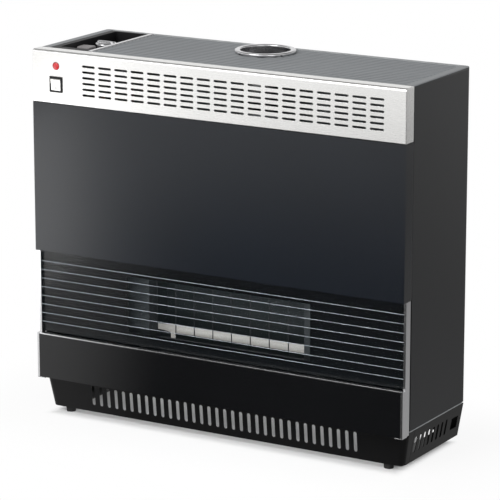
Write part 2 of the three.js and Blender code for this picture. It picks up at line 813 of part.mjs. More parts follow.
// ---------------------------------------------------------------- plinth and feet
// Plan outline of the plinth at one height: rounded front corners, square open rear.
function plinthOutline(z, inset, rear) {
  const share = (z - plinthBottom) / plinthHeight;
  const half = halfWidth - THREE.MathUtils.lerp(plinthBottomInset, plinthTopInset, share) - inset;
  const front = THREE.MathUtils.lerp(plinthBottomFront, plinthTopFront, share) + inset;
  const radius = plinthCorner - inset;
  const points = [new THREE.Vector3(half, rear, z), new THREE.Vector3(-half, rear, z)];
  for (const side of [-1, 1]) {
    for (let i = 0; i <= plinthCornerSteps; i += 1) {
      const start = side < 0 ? Math.PI : 1.5 * Math.PI;
      const turn = start + (i / plinthCornerSteps) * (Math.PI / 2);
      const x = side * (half - radius) + radius * Math.cos(turn);
      points.push(new THREE.Vector3(x, front + radius + radius * Math.sin(turn), z));
    }
  }
  return points;
}

function plinthBody() {
  const inside = plinthRear + past;
  const outer = loft([plinthOutline(plinthBottom, 0, plinthRear), plinthOutline(plinthTop, 0, plinthRear)]);
  const cavity = loft([plinthOutline(plinthBottom + sheet, sheet, inside),
    plinthOutline(plinthTop - sheet, sheet, inside)]);
  const floorHalf = halfWidth - plinthBottomInset - plinthFlange;
  const floorWindow = box(-floorHalf, floorHalf, plinthSeam, inside,
    plinthBottom - past, plinthBottom + 2 * sheet);
  const topHalf = halfWidth - plinthTopInset - plinthLedge;
  const topWindow = box(-topHalf, topHalf, plinthTopFront + plinthLedge, inside,
    plinthTop - 2 * sheet, plinthTop + past);
  return cut(outer, cavity, floorWindow, topWindow);
}

function frontVents() {
  const vent = slotShape(ventHeight, ventWidth);
  const upright = prismY(vent, -plinthCorner, plinthCorner, slotEnd).rotateY(Math.PI / 2);
  return copies(upright, rowX(ventCountFront, ventPitch, (plinthTopFront + plinthBottomFront) / 2, ventZ));
}

function sideVents() {
  const reach = [halfWidth - plinthFlange, halfWidth + past];
  const narrow = prismX(slotShape(ventHeightSide, ventWidth), ...reach, slotEnd).rotateX(Math.PI / 2);
  const broad = prismX(slotShape(ventHeightSide, cornerVentWidth), ...reach, slotEnd).rotateX(Math.PI / 2);
  const places = Array.from({ length: ventCountSide }, (_, i) => [0, ventSideFirst + i * ventPitch, ventZ]);
  const pipeHole = box(...reach, pipeHoleFront, pipeHoleFront + pipeHoleLength,
    pipeHoleZ, pipeHoleZ + pipeHoleHeight);
  return [copies(narrow, places), broad.translate(0, cornerVentAt, ventZ), pipeHole];
}

const plinth = plinthBody();
const studHole = disc(footStud + turnRoom, 0, plinthBottom + 2 * sheet, small);

function plinthFront() {
  const block = box(-halfWidth, halfWidth, 0, plinthSeam, 0, plinthTop + past);
  const studHoles = copies(studHole, [[-footX, footFront, 0], [footX, footFront, 0]]);
  return cut(common(plinth, block), frontVents(), studHoles);
}

function plinthSide() {
  const block = box(0, halfWidth, plinthSeam + seat, caseDepth, 0, plinthTop + past);
  return cut(common(plinth, block), ...sideVents(), studHole.clone().translate(footX, footRear, 0));
}

// A rubber foot with its stud and a chamfered sole.
function rubberFoot() {
  const padTop = footHeight - seat;
  const studTop = footHeight + 3 * sheet;
  return turned([[0, 0], [footRadius - footEdge, 0], [footRadius, footEdge], [footRadius, padTop],
    [footStud, padTop], [footStud, studTop], [0, studTop]], small);
}

const plinthEnd = plinthSide();
addPart(heater, "plinth_front", satinBlack, plinthFront());
addPart(heater, "plinth_right", satinBlack, plinthEnd);
addPart(heater, "plinth_left", satinBlack, mirrorX(plinthEnd));
const foot = rubberFoot();
const footPlaces = [[-footX, footFront], [footX, footFront], [footX, footRear], [-footX, footRear]];
footPlaces.forEach(([x, y], i) => addPart(heater, `foot_${i + 1}`, rubber, foot, x, y, 0));

// ---------------------------------------------------------------- fascia, front panel and trims
function stripProfile(inset, rear) {
  const top = caseTop - inset;
  const rollZ = caseTop - stripEdgeRadius;
  const shape = new THREE.Shape();
  shape.moveTo(inset, stripBottom + inset);
  shape.lineTo(rear, stripBottom + inset);
  shape.lineTo(rear, top);
  shape.absarc(stripEdgeRadius, rollZ, stripEdgeRadius - inset, Math.PI / 2, Math.PI);
  return shape;
}

function fasciaSlots() {
  const slot = prismY(slotShape(slotLength, slotWidth), -past, 2 * sheet, slotEnd);
  const places = [];
  for (let column = 0; column < slotColumns; column += 1) {
    for (let row = 0; row < slotRows; row += 1) {
      const x = -halfWidth + slotFirstX + column * slotPitchX;
      places.push([x, 0, caseTop - slotTopDrop - row * slotPitchZ]);
    }
  }
  return copies(slot, places);
}

function outletStrip() {
  const skin = prismX(stripProfile(0, frontDepth), -halfWidth, halfWidth);
  const hollow = prismX(stripProfile(sheet, frontDepth + past), -panelInner, panelInner);
  const lampHole = discAlongY(lampRadius + seat, -past, 2 * sheet).translate(controlX, 0, lampZ);
  const halfX = switchWidth / 2 - switchBodyInset + seat;
  const halfZ = switchHeight / 2 - switchBodyInset + seat;
  const switchHole = box(-halfX, halfX, -past, 2 * sheet, -halfZ, halfZ).translate(controlX, 0, switchZ);
  return cut(skin, hollow, fasciaSlots(), lampHole, switchHole);
}

function lowerTrim() {
  const side = trimHalf + past;
  const shell = tray(-trimHalf, trimHalf, frontDepth, trimBottom, trimTop);
  const underside = box(-side, side, trimReturn, frontDepth + past, trimBottom - past, trimBottom + sheet);
  const plinthRoom = box(-side, side, plinthTopFront - 2 * seat, frontDepth + past,
    trimBottom - past, plinthTop + 2 * seat + 2 * sheet);
  return cut(shell, underside, plinthRoom);
}

// The right-hand bright end trim: a side cheek, a front lip that steps back beside the glass,
// a small shelf at the step and a lip folded under its foot.
function endTrim() {
  const inner = halfWidth - trimLip;
  const skin = halfWidth - sheet;
  const lipBack = glassFront - seat;
  const lipFront = lipBack - sheet;
  const footTop = trimBottom - seat;
  const footLow = footTop - sheet;
  const cheek = box(skin, halfWidth, 0, trimSideDepth, trimBottom, glassTop);
  const notch = box(inner, halfWidth + past, -past, lipFront, beadTop, glassTop + past);
  const lowerLip = box(inner, halfWidth, 0, sheet, trimBottom, beadTop);
  const upperLip = box(inner, halfWidth, lipFront, lipBack, beadTop - sheet, glassTop);
  const shelf = box(inner, halfWidth, 0, lipBack, beadTop - sheet, beadTop);
  const footPlate = box(halfWidth - trimFoot, halfWidth, 0, trimReturn, footLow, footTop);
  const footBend = box(skin, halfWidth, 0, trimReturn, footLow, trimBottom + past);
  return join(cut(cheek, notch), lowerLip, upperLip, shelf, footPlate, footBend);
}

addPart(heater, "outlet_strip", stainless, outletStrip());
addPart(heater, "front_panel", satinBlack, tray(-halfWidth, halfWidth, frontDepth, panelBottom, panelTop));
addPart(heater, "front_glass", tintGlass,
  box(-glassHalf, glassHalf, glassFront, glassFront + glassThickness, glassBottom, glassTop));
addPart(heater, "lower_trim", glossBlack, lowerTrim());
addPart(heater, "trim_bead", bright,
  box(-trimHalf, trimHalf, 0, glassFront - sheet, trimTop + seat, beadTop));
const trimShell = endTrim();
addPart(heater, "side_trim_right", bright, trimShell);
addPart(heater, "side_trim_left", bright, mirrorX(trimShell));

// ---------------------------------------------------------------- top
// Ribs run along X; the grooves between them are open except at the cross bars.
function grilleProfile() {
  const top = caseTop;
  const shoulder = caseTop - ribChamfer;
  const valley = grilleLow + grilleWeb;
  const ribs = Array.from({ length: ribCount }, (_, i) => {
    const front = casingFront + (ribCount - 1 - i) * ribPitch;
    const rear = front + ribWidth;
    return [[rear, i === 0 ? grilleLow : valley], [rear, shoulder], [rear - ribChamfer, top],
      [front + ribChamfer, top], [front, shoulder], [front, i === ribCount - 1 ? grilleLow : valley]];
  });
  return polygon(ribs.flat());
}

function grilleSlots() {
  const bay = (grilleRight - grilleLeft - crossBarWidth) / (crossBars - 1);
  const slot = box(0, bay - crossBarWidth, 0, ribPitch - ribWidth,
    grilleLow - past, grilleLow + grilleWeb + past);
  const places = [];
  for (let groove = 0; groove + 1 < ribCount; groove += 1) {
    for (let i = 0; i + 1 < crossBars; i += 1) {
      const x = grilleLeft + crossBarWidth + i * bay;
      places.push([x, casingFront + ribWidth + groove * ribPitch, 0]);
    }
  }
  return copies(slot, places);
}

function topGrille() {
  const hole = collarSocket + seat;
  const slab = prismX(grilleProfile(), grilleLeft, grilleRight);
  const surround = ring(collarRadius - collarSeat, hole, grilleLow, caseTop - ribChamfer, wide);
  const flueHole = disc(hole, grilleLow - past, caseTop + past, wide).translate(0, flueY, 0);
  const limit = box(grilleLeft, grilleRight, casingFront, topFieldRear, grilleLow, caseTop);
  const seatRing = common(surround.translate(0, flueY, 0), limit);
  return cut(join(cut(slab, grilleSlots()), seatRing), flueHole);
}

// The tray of the controls: a rim at the top, four walls and a floor with two holes.
function controlWell() {
  const right = wellRight + wellWall;
  const rimLow = caseTop - sheet;
  const floorLow = wellFloor - wellWall;
  const rim = box(-flangeInner + seat, right, casingFront, topFieldRear, rimLow, caseTop);
  const tub = box(wellLeft - wellWall, right, wellFront - wellWall, wellRear + wellWall, floorLow, caseTop);
  const hollow = box(wellLeft, wellRight, wellFront, wellRear, wellFloor, caseTop + past);
  const dividerRoom = box(wellRight - past, right + past, casingFront - past, topFieldRear + past,
    rimLow - seat, caseTop + past);
  const hole = (radius) => disc(radius, floorLow - past, wellFloor + past);
  const neckHole = hole(neckRadius + seat).translate(knobX, knobBehindFront, 0);
  const stemHole = hole(igniterWidth / 2 - stemShoulder).translate(igniterX, igniterBehindFront, 0);
  return cut(join(rim, tub), hollow, dividerRoom, neckHole, stemHole);
}

// A bright bar with a chamfered crown that caps the right wall of the well.
function wellDivider() {
  const left = wellRight;
  const right = dividerRight;
  const legLeft = wellRight + wellWall + seat;
  const low = caseTop - sheet;
  const crown = caseTop + dividerProud;
  const outline = polygon([[legLeft, low - dividerLeg], [right, low - dividerLeg], [right, caseTop],
    [right - dividerProud, crown], [left + dividerProud, crown], [left, caseTop], [left, low],
    [legLeft, low]]);
  return prismY(outline, casingFront, topFieldRear);
}

addPart(heater, "top_grille", topGrey, topGrille());
addPart(heater, "control_well", blackPlastic, controlWell());
addPart(heater, "well_divider", bright, wellDivider());

// ---------------------------------------------------------------- flue
const flue = addGroup(0, flueY, 0);

// Bright collar: a rolled rim on the grille and a socket for the flue pipe.
function flueCollar() {
  const low = caseTop - collarSkirt;
  const rimLow = caseTop + seat;
  const rimTop = caseTop + collarProud;
  return turned([[collarBore, low], [collarSocket, low], [collarSocket, rimLow], [collarRadius, rimLow],
    [collarRadius, rimTop - collarRoll], [collarRadius - collarRoll, rimTop], [collarBore, rimTop],
    [collarBore, low]], wide);
}

// Inner duct with the lip that stops the flue pipe.
function flueDuct() {
  const inner = ductRadius - flueWall;
  const lip = ductRadius - flueStopWidth;
  const low = ductBottom + seat;
  const stop = caseTop - flueSocketDepth;
  return turned([[inner, low], [ductRadius, low], [ductRadius, stop], [lip, stop],
    [lip, stop - flueWall], [inner, stop - flueWall], [inner, low]], wide);
}

// Outline of the hood at one level, blended from the firebox's rectangle to the duct's circle.
function hoodOutline(share, inset, z) {
  const centreY = THREE.MathUtils.lerp(chamberMiddle - flueY, 0, share);
  const ease = THREE.MathUtils.smoothstep(share, 0, 1);
  const halfX = hoodHalfWidth - inset;
  const halfY = hoodHalfDepth - inset;
  const radius = ductRadius - inset;
  return Array.from({ length: hoodSides }, (_, i) => {
    const turn = ((i + 0.5) / hoodSides) * 2 * Math.PI;
    const c = Math.cos(turn);
    const s = Math.sin(turn);
    const edge = 1 / Math.max(Math.abs(c) / halfX, Math.abs(s) / halfY);
    const reach = THREE.MathUtils.lerp(edge, radius, ease);
    return new THREE.Vector3(c * reach, s * reach + centreY, z);
  });
}

function draughtHood() {
  const low = chamberTop + seat;
  const skin = hoodLevels.map((share) => hoodOutline(share, 0, low + share * hoodHeight));
  const hollowLow = low - past;
  const hollowHeight = hoodHeight + 2 * past;
  const hollow = hoodLevels.map((share) => hoodOutline(share, flueWall, hollowLow + share * hollowHeight));
  return cut(loft(skin), loft(hollow));
}

addPart(flue, "flue_collar", bright, flueCollar());
addPart(flue, "flue_duct", zinc, flueDuct());
addPart(flue, "draught_hood", zinc, draughtHood());

// ---------------------------------------------------------------- firebox and window
function sightGlass() {
  const half = sightHalfWidth + sightGlassLap;
  const front = sightRear + seat;
  return box(-half, half, front, front + sightGlassThickness,
    sightBottom - sightGlassLap, sightTop + sightGlassLap);
}

// Folded angles that line the sight opening: a front flange and a wall that runs back to the glass.
function sightSide() {
  const flangeY = sightPlane + sheet / 2;
  const wallX = sightHalfWidth + sheet / 2;
  const line = [[sightHalfWidth + sightFlange, flangeY], [wallX, flangeY], [wallX, sightRear]];
  return prismZ(sheetShape(line, sheet), sightBottom - sightRail, sightTop + sightRail);
}

function sightLevel(edge, direction) {
  const flangeY = sightPlane + sheet / 2;
  const wall = edge + (direction * sheet) / 2;
  const line = [[flangeY, edge + direction * sightRail], [flangeY, wall], [sightRear, wall]];
  return prismX(sheetShape(line, sheet), -sightInner, sightInner);
}

// Upright wires welded to a cross wire at each end.
function guardWires() {
  const low = sightBottom + wireRadius + seat;
  const high = sightTop - wireRadius - seat;
  const upright = disc(wireRadius, low, high, pipeSides);
  const uprights = rowX(wireCount, wirePitch).map((place) => upright.clone().translate(...place));
  const level = discAlongX(wireRadius, -sightInner, sightInner, pipeSides);
  const levels = [low, high].map((z) => level.clone().translate(0, 0, z));
  return join(...levels, ...uprights);
}

// Welded firebox: open at the window, at the top port and under the burner.
function combustionChamber() {
  const w = chamberWall;
  const half = chamberHalfWidth;
  const inner = half - w;
  const windowHalf = sightHalfWidth + windowLap;
  const portHalf = hoodHalfWidth - w;
  const shell = box(-half, half, chamberFront, chamberRear, chamberBottom, chamberTop);
  const hollow = box(-inner, inner, chamberFront + w, chamberRear - w, chamberFloor, chamberTop - w);
  const window = box(-windowHalf, windowHalf, chamberFront - past, chamberFront + w + past,
    sightBottom - windowLap, sightTop + windowLap);
  const port = box(-portHalf, portHalf, chamberFront + portEdge, chamberRear - portEdge,
    chamberTop - w - past, chamberTop + past);
  const neckHole = discAlongX(burnerNeck + seat, -half - past, -inner + past)
    .translate(0, burnerBehindFront, burnerHeight);
  const stemHole = disc(pilotHole + seat, chamberBottom - past, chamberFloor + past, small);
  const stemHoles = [-1, 0, 1].map((i) => [pilotX, burnerBehindFront + i * pilotPitch, 0]);
  return cut(shell, hollow, window, port, airSlots(chamberBottom, chamberFloor), neckHole,
    copies(stemHole, stemHoles));
}

// Finned plate welded to the back of the firebox.
function finBlock() {
  const half = chamberHalfWidth - finMargin;
  const low = chamberTop - finHeight;
  const high = chamberTop - finTopDrop;
  const front = chamberRear + seat;
  const pitch = (2 * half - chamberWall) / (finCount - 1);
  const fin = box(-chamberWall / 2, chamberWall / 2, front, finRear, low, high);
  const fins = rowX(finCount, pitch).map((place) => fin.clone().translate(...place));
  return join(box(-half, half, front, front + chamberWall, low, high), ...fins);
}

// Cradle under the firebox: two legs, joined by a rail along the front and one along the rear.
function chamberCradle() {
  const w = chamberWall;
  const half = chamberHalfWidth;
  const front = chamberFront + cradleInset;
  const rear = chamberRear - cradleRearInset;
  const high = chamberBottom - seat;
  const legs = [-half, half - w].map((x) => box(x, x + w, front, rear, panTop + seat, high));
  const rails = [front, rear - cradleRail].map((y) => box(-half, half, y, y + cradleRail, high - w, high));
  const pass = discAlongX(pilotPass, -half - past, -half + w + past, small);
  return cut(join(...legs, ...rails), pass.translate(0, pilotRunY, pilotRunZ));
}

addPart(heater, "sight_glass", clearGlass, sightGlass());
const sightCheek = sightSide();
addPart(heater, "sight_frame_right", heatSteel, sightCheek);
addPart(heater, "sight_frame_left", heatSteel, mirrorX(sightCheek));
addPart(heater, "sight_frame_top", heatSteel, sightLevel(sightTop, 1));
addPart(heater, "sight_frame_bottom", heatSteel, sightLevel(sightBottom, -1));
addPart(heater, "guard_wires", burnerSteel, guardWires(), 0, sightPlane + wireSetback, 0);
addPart(heater, "combustion_chamber", heatSteel, combustionChamber());
addPart(heater, "fin_block", heatSteel, finBlock());
addPart(heater, "chamber_cradle", heatSteel, chamberCradle());

// ---------------------------------------------------------------- burner, jet and pilot group
const burner = addGroup(0, burnerBehindFront, burnerHeight);

function burnerPorts() {
  const halfX = flamePortWidth / 2;
  const halfY = flamePortLength / 2;
  const port = box(-halfX, halfX, -halfY, halfY, burnerRadius - flamePortDepth, burnerRadius + past);
  const pitch = (2 * (burnerHalfLength - flamePortMargin)) / (flamePortCount - 1);
  return copies(port, rowX(flamePortCount, pitch));
}

// Burner bar with a tapered end, a flared mixing tube, flame ports and two saddles.
function burnerTube() {
  const r = burnerRadius;
  const end = burnerHalfLength;
  const mouth = -burnerMouth;
  const taperEnd = -end + burnerTaperLap;
  const bar = turned([[0, mouth], [burnerNeck + mouthFlare, mouth], [burnerNeck, mouth + mouthLength],
    [burnerNeck, taperEnd - burnerTaper], [r, taperEnd], [r, end - burnerEnd], [r - burnerEnd, end],
    [0, end]]).rotateY(Math.PI / 2);
  const saddleLow = chamberFloor + seat - burnerHeight;
  const saddle = box(-saddleThickness / 2, saddleThickness / 2, -r, r, saddleLow, 0);
  const saddles = [-1, 1].map((side) => saddle.clone().translate(side * (end - saddleInset), 0, 0));
  const bore = discAlongX(burnerNeck - mouthWall, mouth - past, mouth + mouthDepth, small);
  return cut(join(bar, ...saddles), burnerPorts(), bore);
}

// Brass jet that blows into the mouth of the mixing tube.
function burnerJet() {
  const tip = burnerNeck - mouthWall - jetRoom;
  return turned([[0, -jetLength], [jetBody, -jetLength], [jetBody, -jetNutRear], [jetNut, -jetNutRear],
    [jetNut, -jetNutFront], [tip, -jetNutFront], [tip, jetReach], [0, jetReach]], small)
    .rotateY(Math.PI / 2);
}

// A stem through the firebox floor with a flange on it, and the given profile above.
function stemmed(profile) {
  return turned([[0, -pilotTail], [pilotStem, -pilotTail], [pilotStem, 0], [pilotFlange, 0],
    [pilotFlange, pilotFlangeHeight], ...profile], small);
}

function pilotBurner() {
  const hoodLow = pilotTip - pilotHoodHeight;
  return stemmed([[pilotTube, pilotFlangeHeight], [pilotTube, hoodLow], [pilotHood, pilotTip],
    [0, pilotTip]]);
}

function ignitionElectrode() {
  const tipLow = pilotTip - electrodeTipLength;
  return stemmed([[electrodeBody, pilotFlangeHeight], [electrodeBody, tipLow - past],
    [electrodeTip, tipLow], [electrodeTip, pilotTip], [0, pilotTip]]);
}

function thermocouple() {
  return stemmed([[couplePin, pilotFlangeHeight], [couplePin, pilotTip - coupleTipLength],
    [coupleTip, pilotTip], [0, pilotTip]]);
}

addPart(burner, "burner_tube", burnerSteel, burnerTube());
addPart(burner, "injector", brass, burnerJet(), jetX, 0, 0);
const pilot = addGroup(pilotX, burnerBehindFront, chamberFloor + seat);
addPart(pilot, "pilot_burner", brass, pilotBurner());
addPart(pilot, "ignition_electrode", whiteCeramic, ignitionElectrode(), 0, pilotPitch, 0);
addPart(pilot, "thermocouple", copper, thermocouple(), 0, -pilotPitch, 0);

// ---------------------------------------------------------------- gas control
const control = addGroup(knobX, knobBehindFront, wellFloor);

// Cast body with its neck, the bore for the turning sleeve and a bore below it for the spindle.
function gasValve() {
  const halfX = valveWidth / 2;
  const halfY = valveDepth / 2;
  const portZ = valveUnder + portLift;
  const body = box(-halfX, halfX, -halfY, halfY, valveUnder, belowWell);
  const neck = disc(neckRadius, belowWell - past, neckProud);
  const magnet = discAlongY(portRadius, -halfY - magnetReach, -halfY + past);
  const inlet = discAlongY(portRadius, halfY - past, halfY + portReach);
  const outlet = disc(portRadius, valveUnder - portReach, valveUnder + past);
  const ports = [magnet.translate(magnetOffset, 0, portZ), inlet.translate(0, 0, portZ),
    outlet.translate(0, burnerFeedY, 0)];
  const sleeveBore = disc(sleeveRadius + turnRoom, sleeveLow - seat, neckProud + past);
  const spindleRoom = spindleLow - knobTravel - 2 * past;
  const spindleBore = disc(spindleRadius + turnRoom, spindleRoom, sleeveLow);
  return cut(join(body, neck, ...ports), sleeveBore, spindleBore);
}

// The sleeve turns with the spindle, which slides through its D-shaped hole.
function valveSleeve() {
  const hole = dShape(spindleRadius + turnRoom, spindleFlat + turnRoom);
  return cut(disc(sleeveRadius, sleeveLow, neckProud - sleeveDrop),
    prismZ(hole, sleeveLow - past, neckProud + past, round));
}

function valveSpindle() {
  return prismZ(dShape(spindleRadius, spindleFlat), spindleLow, spindleTop, round);
}

// Dial disc with a raised grip bar, a recess for the neck and a D-shaped hole for the spindle.
function controlKnob() {
  const reach = knobRadius - knobGripInset;
  const top = knobHeight + knobGripHeight;
  const dial = turned([[0, 0], [knobRadius, 0], [knobRadius, knobHeight - knobRim],
    [knobRadius - knobRim, knobHeight], [0, knobHeight]], dialSides);
  const grip = prismZ(slotShape(2 * reach, knobGripWidth), knobHeight - past, top, gripEnd);
  const crestShape = slotShape(2 * (reach - knobCrest), knobGripWidth - 2 * knobCrest);
  const crest = prismZ(crestShape, knobHeight, top + knobCrest, gripEnd);
  const recess = disc(neckRadius + knobRoom, -past, knobTravel + knobRoom);
  const hole = prismZ(dShape(spindleRadius + seat, spindleFlat + seat), -past, knobHeight + seat, round);
  const mark = box(reach - knobMarkLength, knobRadius, -knobMarkWidth / 2, knobMarkWidth / 2,
    top - knobMarkDepth, top + knobCrest + past);
  return cut(join(dial, grip, crest), recess, hole, mark);
}

addPart(control, "gas_valve", castAlloy, gasValve());
addPart(control, "valve_cam_sleeve", brass, valveSleeve());
addPart(control, "valve_spindle", brass, valveSpindle());
addPart(control, "control_knob", bright, controlKnob(), 0, 0, knobLift);

// ---------------------------------------------------------------- igniter
const igniter = addGroup(igniterX, igniterBehindFront, wellFloor);

function igniterBarrel() {
  const r = barrelRadius;
  const low = belowWell - barrelLength;
  const pinLow = low - barrelPinLength;
  const body = turned([[0, pinLow], [barrelPin, pinLow], [barrelPin, low], [r - barrelStep, low],
    [r - barrelStep, low + barrelNarrow], [r, low + barrelNarrow + barrelStep], [r, belowWell],
    [0, belowWell]]);
  return cut(body, disc(igniterStem + turnRoom, belowWell - barrelBore, belowWell + past));
}

// Rectangular cap with chamfered edges on a round stem.
function igniterButton() {
  const top = igniterLift + igniterHeight;
  const corners = [[1, 1], [-1, 1], [-1, -1], [1, -1]];
  const outline = (inset, z) => corners.map(([sideX, sideY]) => (
    new THREE.Vector3(sideX * (igniterWidth / 2 - inset), sideY * (igniterDepth / 2 - inset), z)));
  const cap = loft([outline(0, igniterLift), outline(0, top - igniterEdge), outline(igniterEdge, top)]);
  const stemLow = belowWell - barrelBore + igniterTravel + 2 * past;
  return join(cap, disc(igniterStem, stemLow, igniterLift + past));
}

addPart(igniter, "igniter_barrel", blackPlastic, igniterBarrel());
addPart(igniter, "igniter_button", greyPlastic, igniterButton());

// ---------------------------------------------------------------- gas pipes
// Elbow under the base pan: a supply union to the left and a riser through the pan.
function inletElbow() {
  const nutX = unionX + unionNutSetback;
  const flangeTop = plinthTop - inletZ;
  const halfX = elbowFlangeWidth / 2;
  const halfY = elbowFlangeDepth / 2;
  const union = discAlongX(riserRadius, unionX, riserRadius);
  const nut = discAlongX(unionNut, nutX, nutX + unionNutLength, 6);
  const riser = disc(riserRadius, -riserRadius, riserTop - inletZ);
  const flange = box(-halfX, halfX, -halfY, halfY, flangeTop - elbowFlangeThickness, flangeTop);
  const bore = discAlongX(unionBore, unionX - past, unionX + unionBoreDepth, small);
  return cut(join(union, nut, riser, flange), bore);
}

// Straight up behind the well, then forwards into the rear connection of the gas control.
function inletPipe() {
  const turn = valvePortZ - inletTurn;
  return pipe([[inletX, inletY, riserTop + seat], [inletX, inletY, riserTop + inletRise],
    [inletX, inletY, turn - inletRise], [inletX, inletY, turn],
    [inletX, inletY - 2 * inletPipeRadius, valvePortZ - pipeEase],
    [inletX, valveRearPort + pipeEase, valvePortZ], [inletX, valveRearPort, valvePortZ]],
  inletPipeRadius, inletSteps);
}

// Down under the gas control, then in a wide bend across to the jet.
function burnerPipe() {
  const y = burnerBehindFront;
  return pipe([[knobX, feedY, valveLow - portReach - seat], [knobX, feedY, valveLow - feedDrop],
    [knobX, feedY - pipeEase, burnerHeight + feedBow], [knobX + 6, y + 6, burnerHeight + feedTurn],
    [knobX + 26, y, burnerHeight + 6], [jetRear - feedLead, y, burnerHeight], [jetRear, y, burnerHeight]],
  feedPipeRadius, feedSteps);
}

// Down beside the firebox, through the cradle's leg and under the pilot burner.
function pilotPipe() {
  const x = knobX + pilotOffset;
  const foot = chamberFloor - pilotTail;
  return pipe([[x, knobBehindFront, valveLow - seat], [x, knobBehindFront, valveLow - pilotDrop],
    [pilotLeft, pilotRunY, chamberBottom + pilotDrop], [pilotLeft + 2, pilotRunY, pilotRunZ + 8],
    [pilotLeft + pilotTurn, pilotRunY, pilotRunZ],
    [-chamberHalfWidth + pilotDrop, pilotRunY, pilotRunZ], [pilotX - pilotDrop, pilotRunY, pilotRunZ],
    [pilotX - 12, burnerBehindFront + 6, pilotRunZ + 2], [pilotX, burnerBehindFront, foot - 6],
    [pilotX, burnerBehindFront, foot]], pilotPipeRadius, pilotSteps);
}

addPart(heater, "gas_inlet_elbow", brass, inletElbow(), inletX, inletY, inletZ);
addPart(heater, "inlet_pipe", copper, inletPipe());
addPart(heater, "burner_pipe", copper, burnerPipe());
addPart(heater, "pilot_pipe", copper, pilotPipe());

// ---------------------------------------------------------------- switch and lamp
const switchGroup = addGroup(controlX, 0, switchZ);

function switchBezel() {
  const x = switchWidth / 2;
  const z = switchHeight / 2;
  const bodyX = x - switchBodyInset;
  const bodyZ = z - switchBodyInset;
  const pocketX = x - switchBorder;
  const pocketZ = z - switchBorder;
  const flange = box(-x, x, -seat - switchProud, -seat, -z, z);
  const body = box(-bodyX, bodyX, -seat - past, switchBodyDepth, -bodyZ, bodyZ);
  const pocket = box(-pocketX, pocketX, -seat - switchProud - past, rockerFloor, -pocketZ, pocketZ);
  const pinHole = discAlongX(rockerPin + turnRoom, -bodyX - past, bodyX + past);
  const halfTab = tabThickness / 2;
  const tab = box(-halfTab, halfTab, switchBodyDepth - past, switchBodyDepth + tabLength,
    -tabHeight / 2, tabHeight / 2);
  const tabs = rowX(3, tabPitch).map((place) => tab.clone().translate(...place));
  return cut(join(flange, body, ...tabs), pocket, pinHole.translate(0, rockerPivotDepth, 0));
}

// Rocker seen from its pivot: raised ends, a shallow valley and a narrow root; it rests tipped.
function rockerSolid() {
  const valley = rockerFace - rockerHalf * (tiltSine / tiltCosine);
  const root = rockerRoot;
  const outline = polygon([[-rockerFace, -rockerHalf], [0, -rockerHalf], [root, -root], [root, root],
    [0, rockerHalf], [-rockerFace, rockerHalf], [-valley, 0]]);
  const half = switchWidth / 2 - switchBorder - seat;
  const pinHalf = half + switchBorder - switchBodyInset;
  const body = join(prismX(outline, -half, half), discAlongX(rockerPin, -pinHalf, pinHalf));
  return body.rotateX(THREE.MathUtils.degToRad(rockerTilt));
}

// Neon lamp: a domed red lens through the fascia, plugged into its holder.
function lampLens() {
  return turnedForward([[0, -lensDepth], [lensStem, -lensDepth], [lensStem, -sheet],
    [lampRadius, -sheet], [lampRadius, lampProud * 0.2], [lampRadius * 0.6, lampProud * 0.8],
    [0, lampProud]]);
}

function lampHolder() {
  const outer = lampRadius + holderFlange;
  const rear = -holderFront - holderLength;
  const bore = lensStem + seat;
  const floor = -lensDepth - past;
  return turnedForward([[0, rear], [outer, rear], [outer, -holderFront], [bore, -holderFront],
    [bore, floor], [0, floor]]);
}

addPart(switchGroup, "switch_bezel", blackPlastic, switchBezel());
addPart(switchGroup, "switch_rocker", whitePlastic, rockerSolid(), 0, rockerPivotDepth, 0);
const lamp = addGroup(controlX, 0, lampZ);
addPart(lamp, "lamp_lens", redLens, lampLens());
addPart(lamp, "lamp_holder", blackPlastic, lampHolder());

// ---------------------------------------------------------------- fan unit
const fan = addGroup(0, fanY, fanHeight);

// Both end plates follow the scroll round the rotor and the duct above it.
function housingPlates() {
  const rise = fanDuctTop - fanHeight;
  const rear = scrollRadius + sheet / 2;
  const front = fanTongueY - sheet / 2;
  const outline = polygon([...arcLine(rear, plateFrom, 0, 6), [rear, rise], [front, rise],
    [front, fanTongueLow]]);
  const plate = prismX(outline, 0, sheet);
  return [-housingHalf, housingHalf - sheet].map((x) => plate.clone().translate(x, 0, 0));
}

// Scroll behind the rotor, tongue in front of it, two end plates and a foot; it blows upwards.
function fanHousing() {
  const rise = fanDuctTop - fanHeight;
  const footZ = panTop + seat + sheet / 2 - fanHeight;
  const scroll = [...arcLine(scrollRadius, scrollFrom, 0, 5), [scrollRadius, rise]];
  const tongue = [[fanTongueY - fanTongueLip, fanTongueLow], [fanTongueY, fanTongueBend],
    [fanTongueY, rise]];
  const rail = [[fanRailY, -scrollRadius + sheet / 3], [fanRailY, footZ], [fanRailY + fanRailWidth, footZ]];
  const walls = [scroll, tongue, rail].map((line) => (
    prismX(sheetShape(line, sheet), -housingHalf, housingHalf)));
  const shaftHole = discAlongX(bushRadius, -housingHalf - past, housingHalf + past);
  return cut(join(...walls, ...housingPlates()), shaftHole);
}

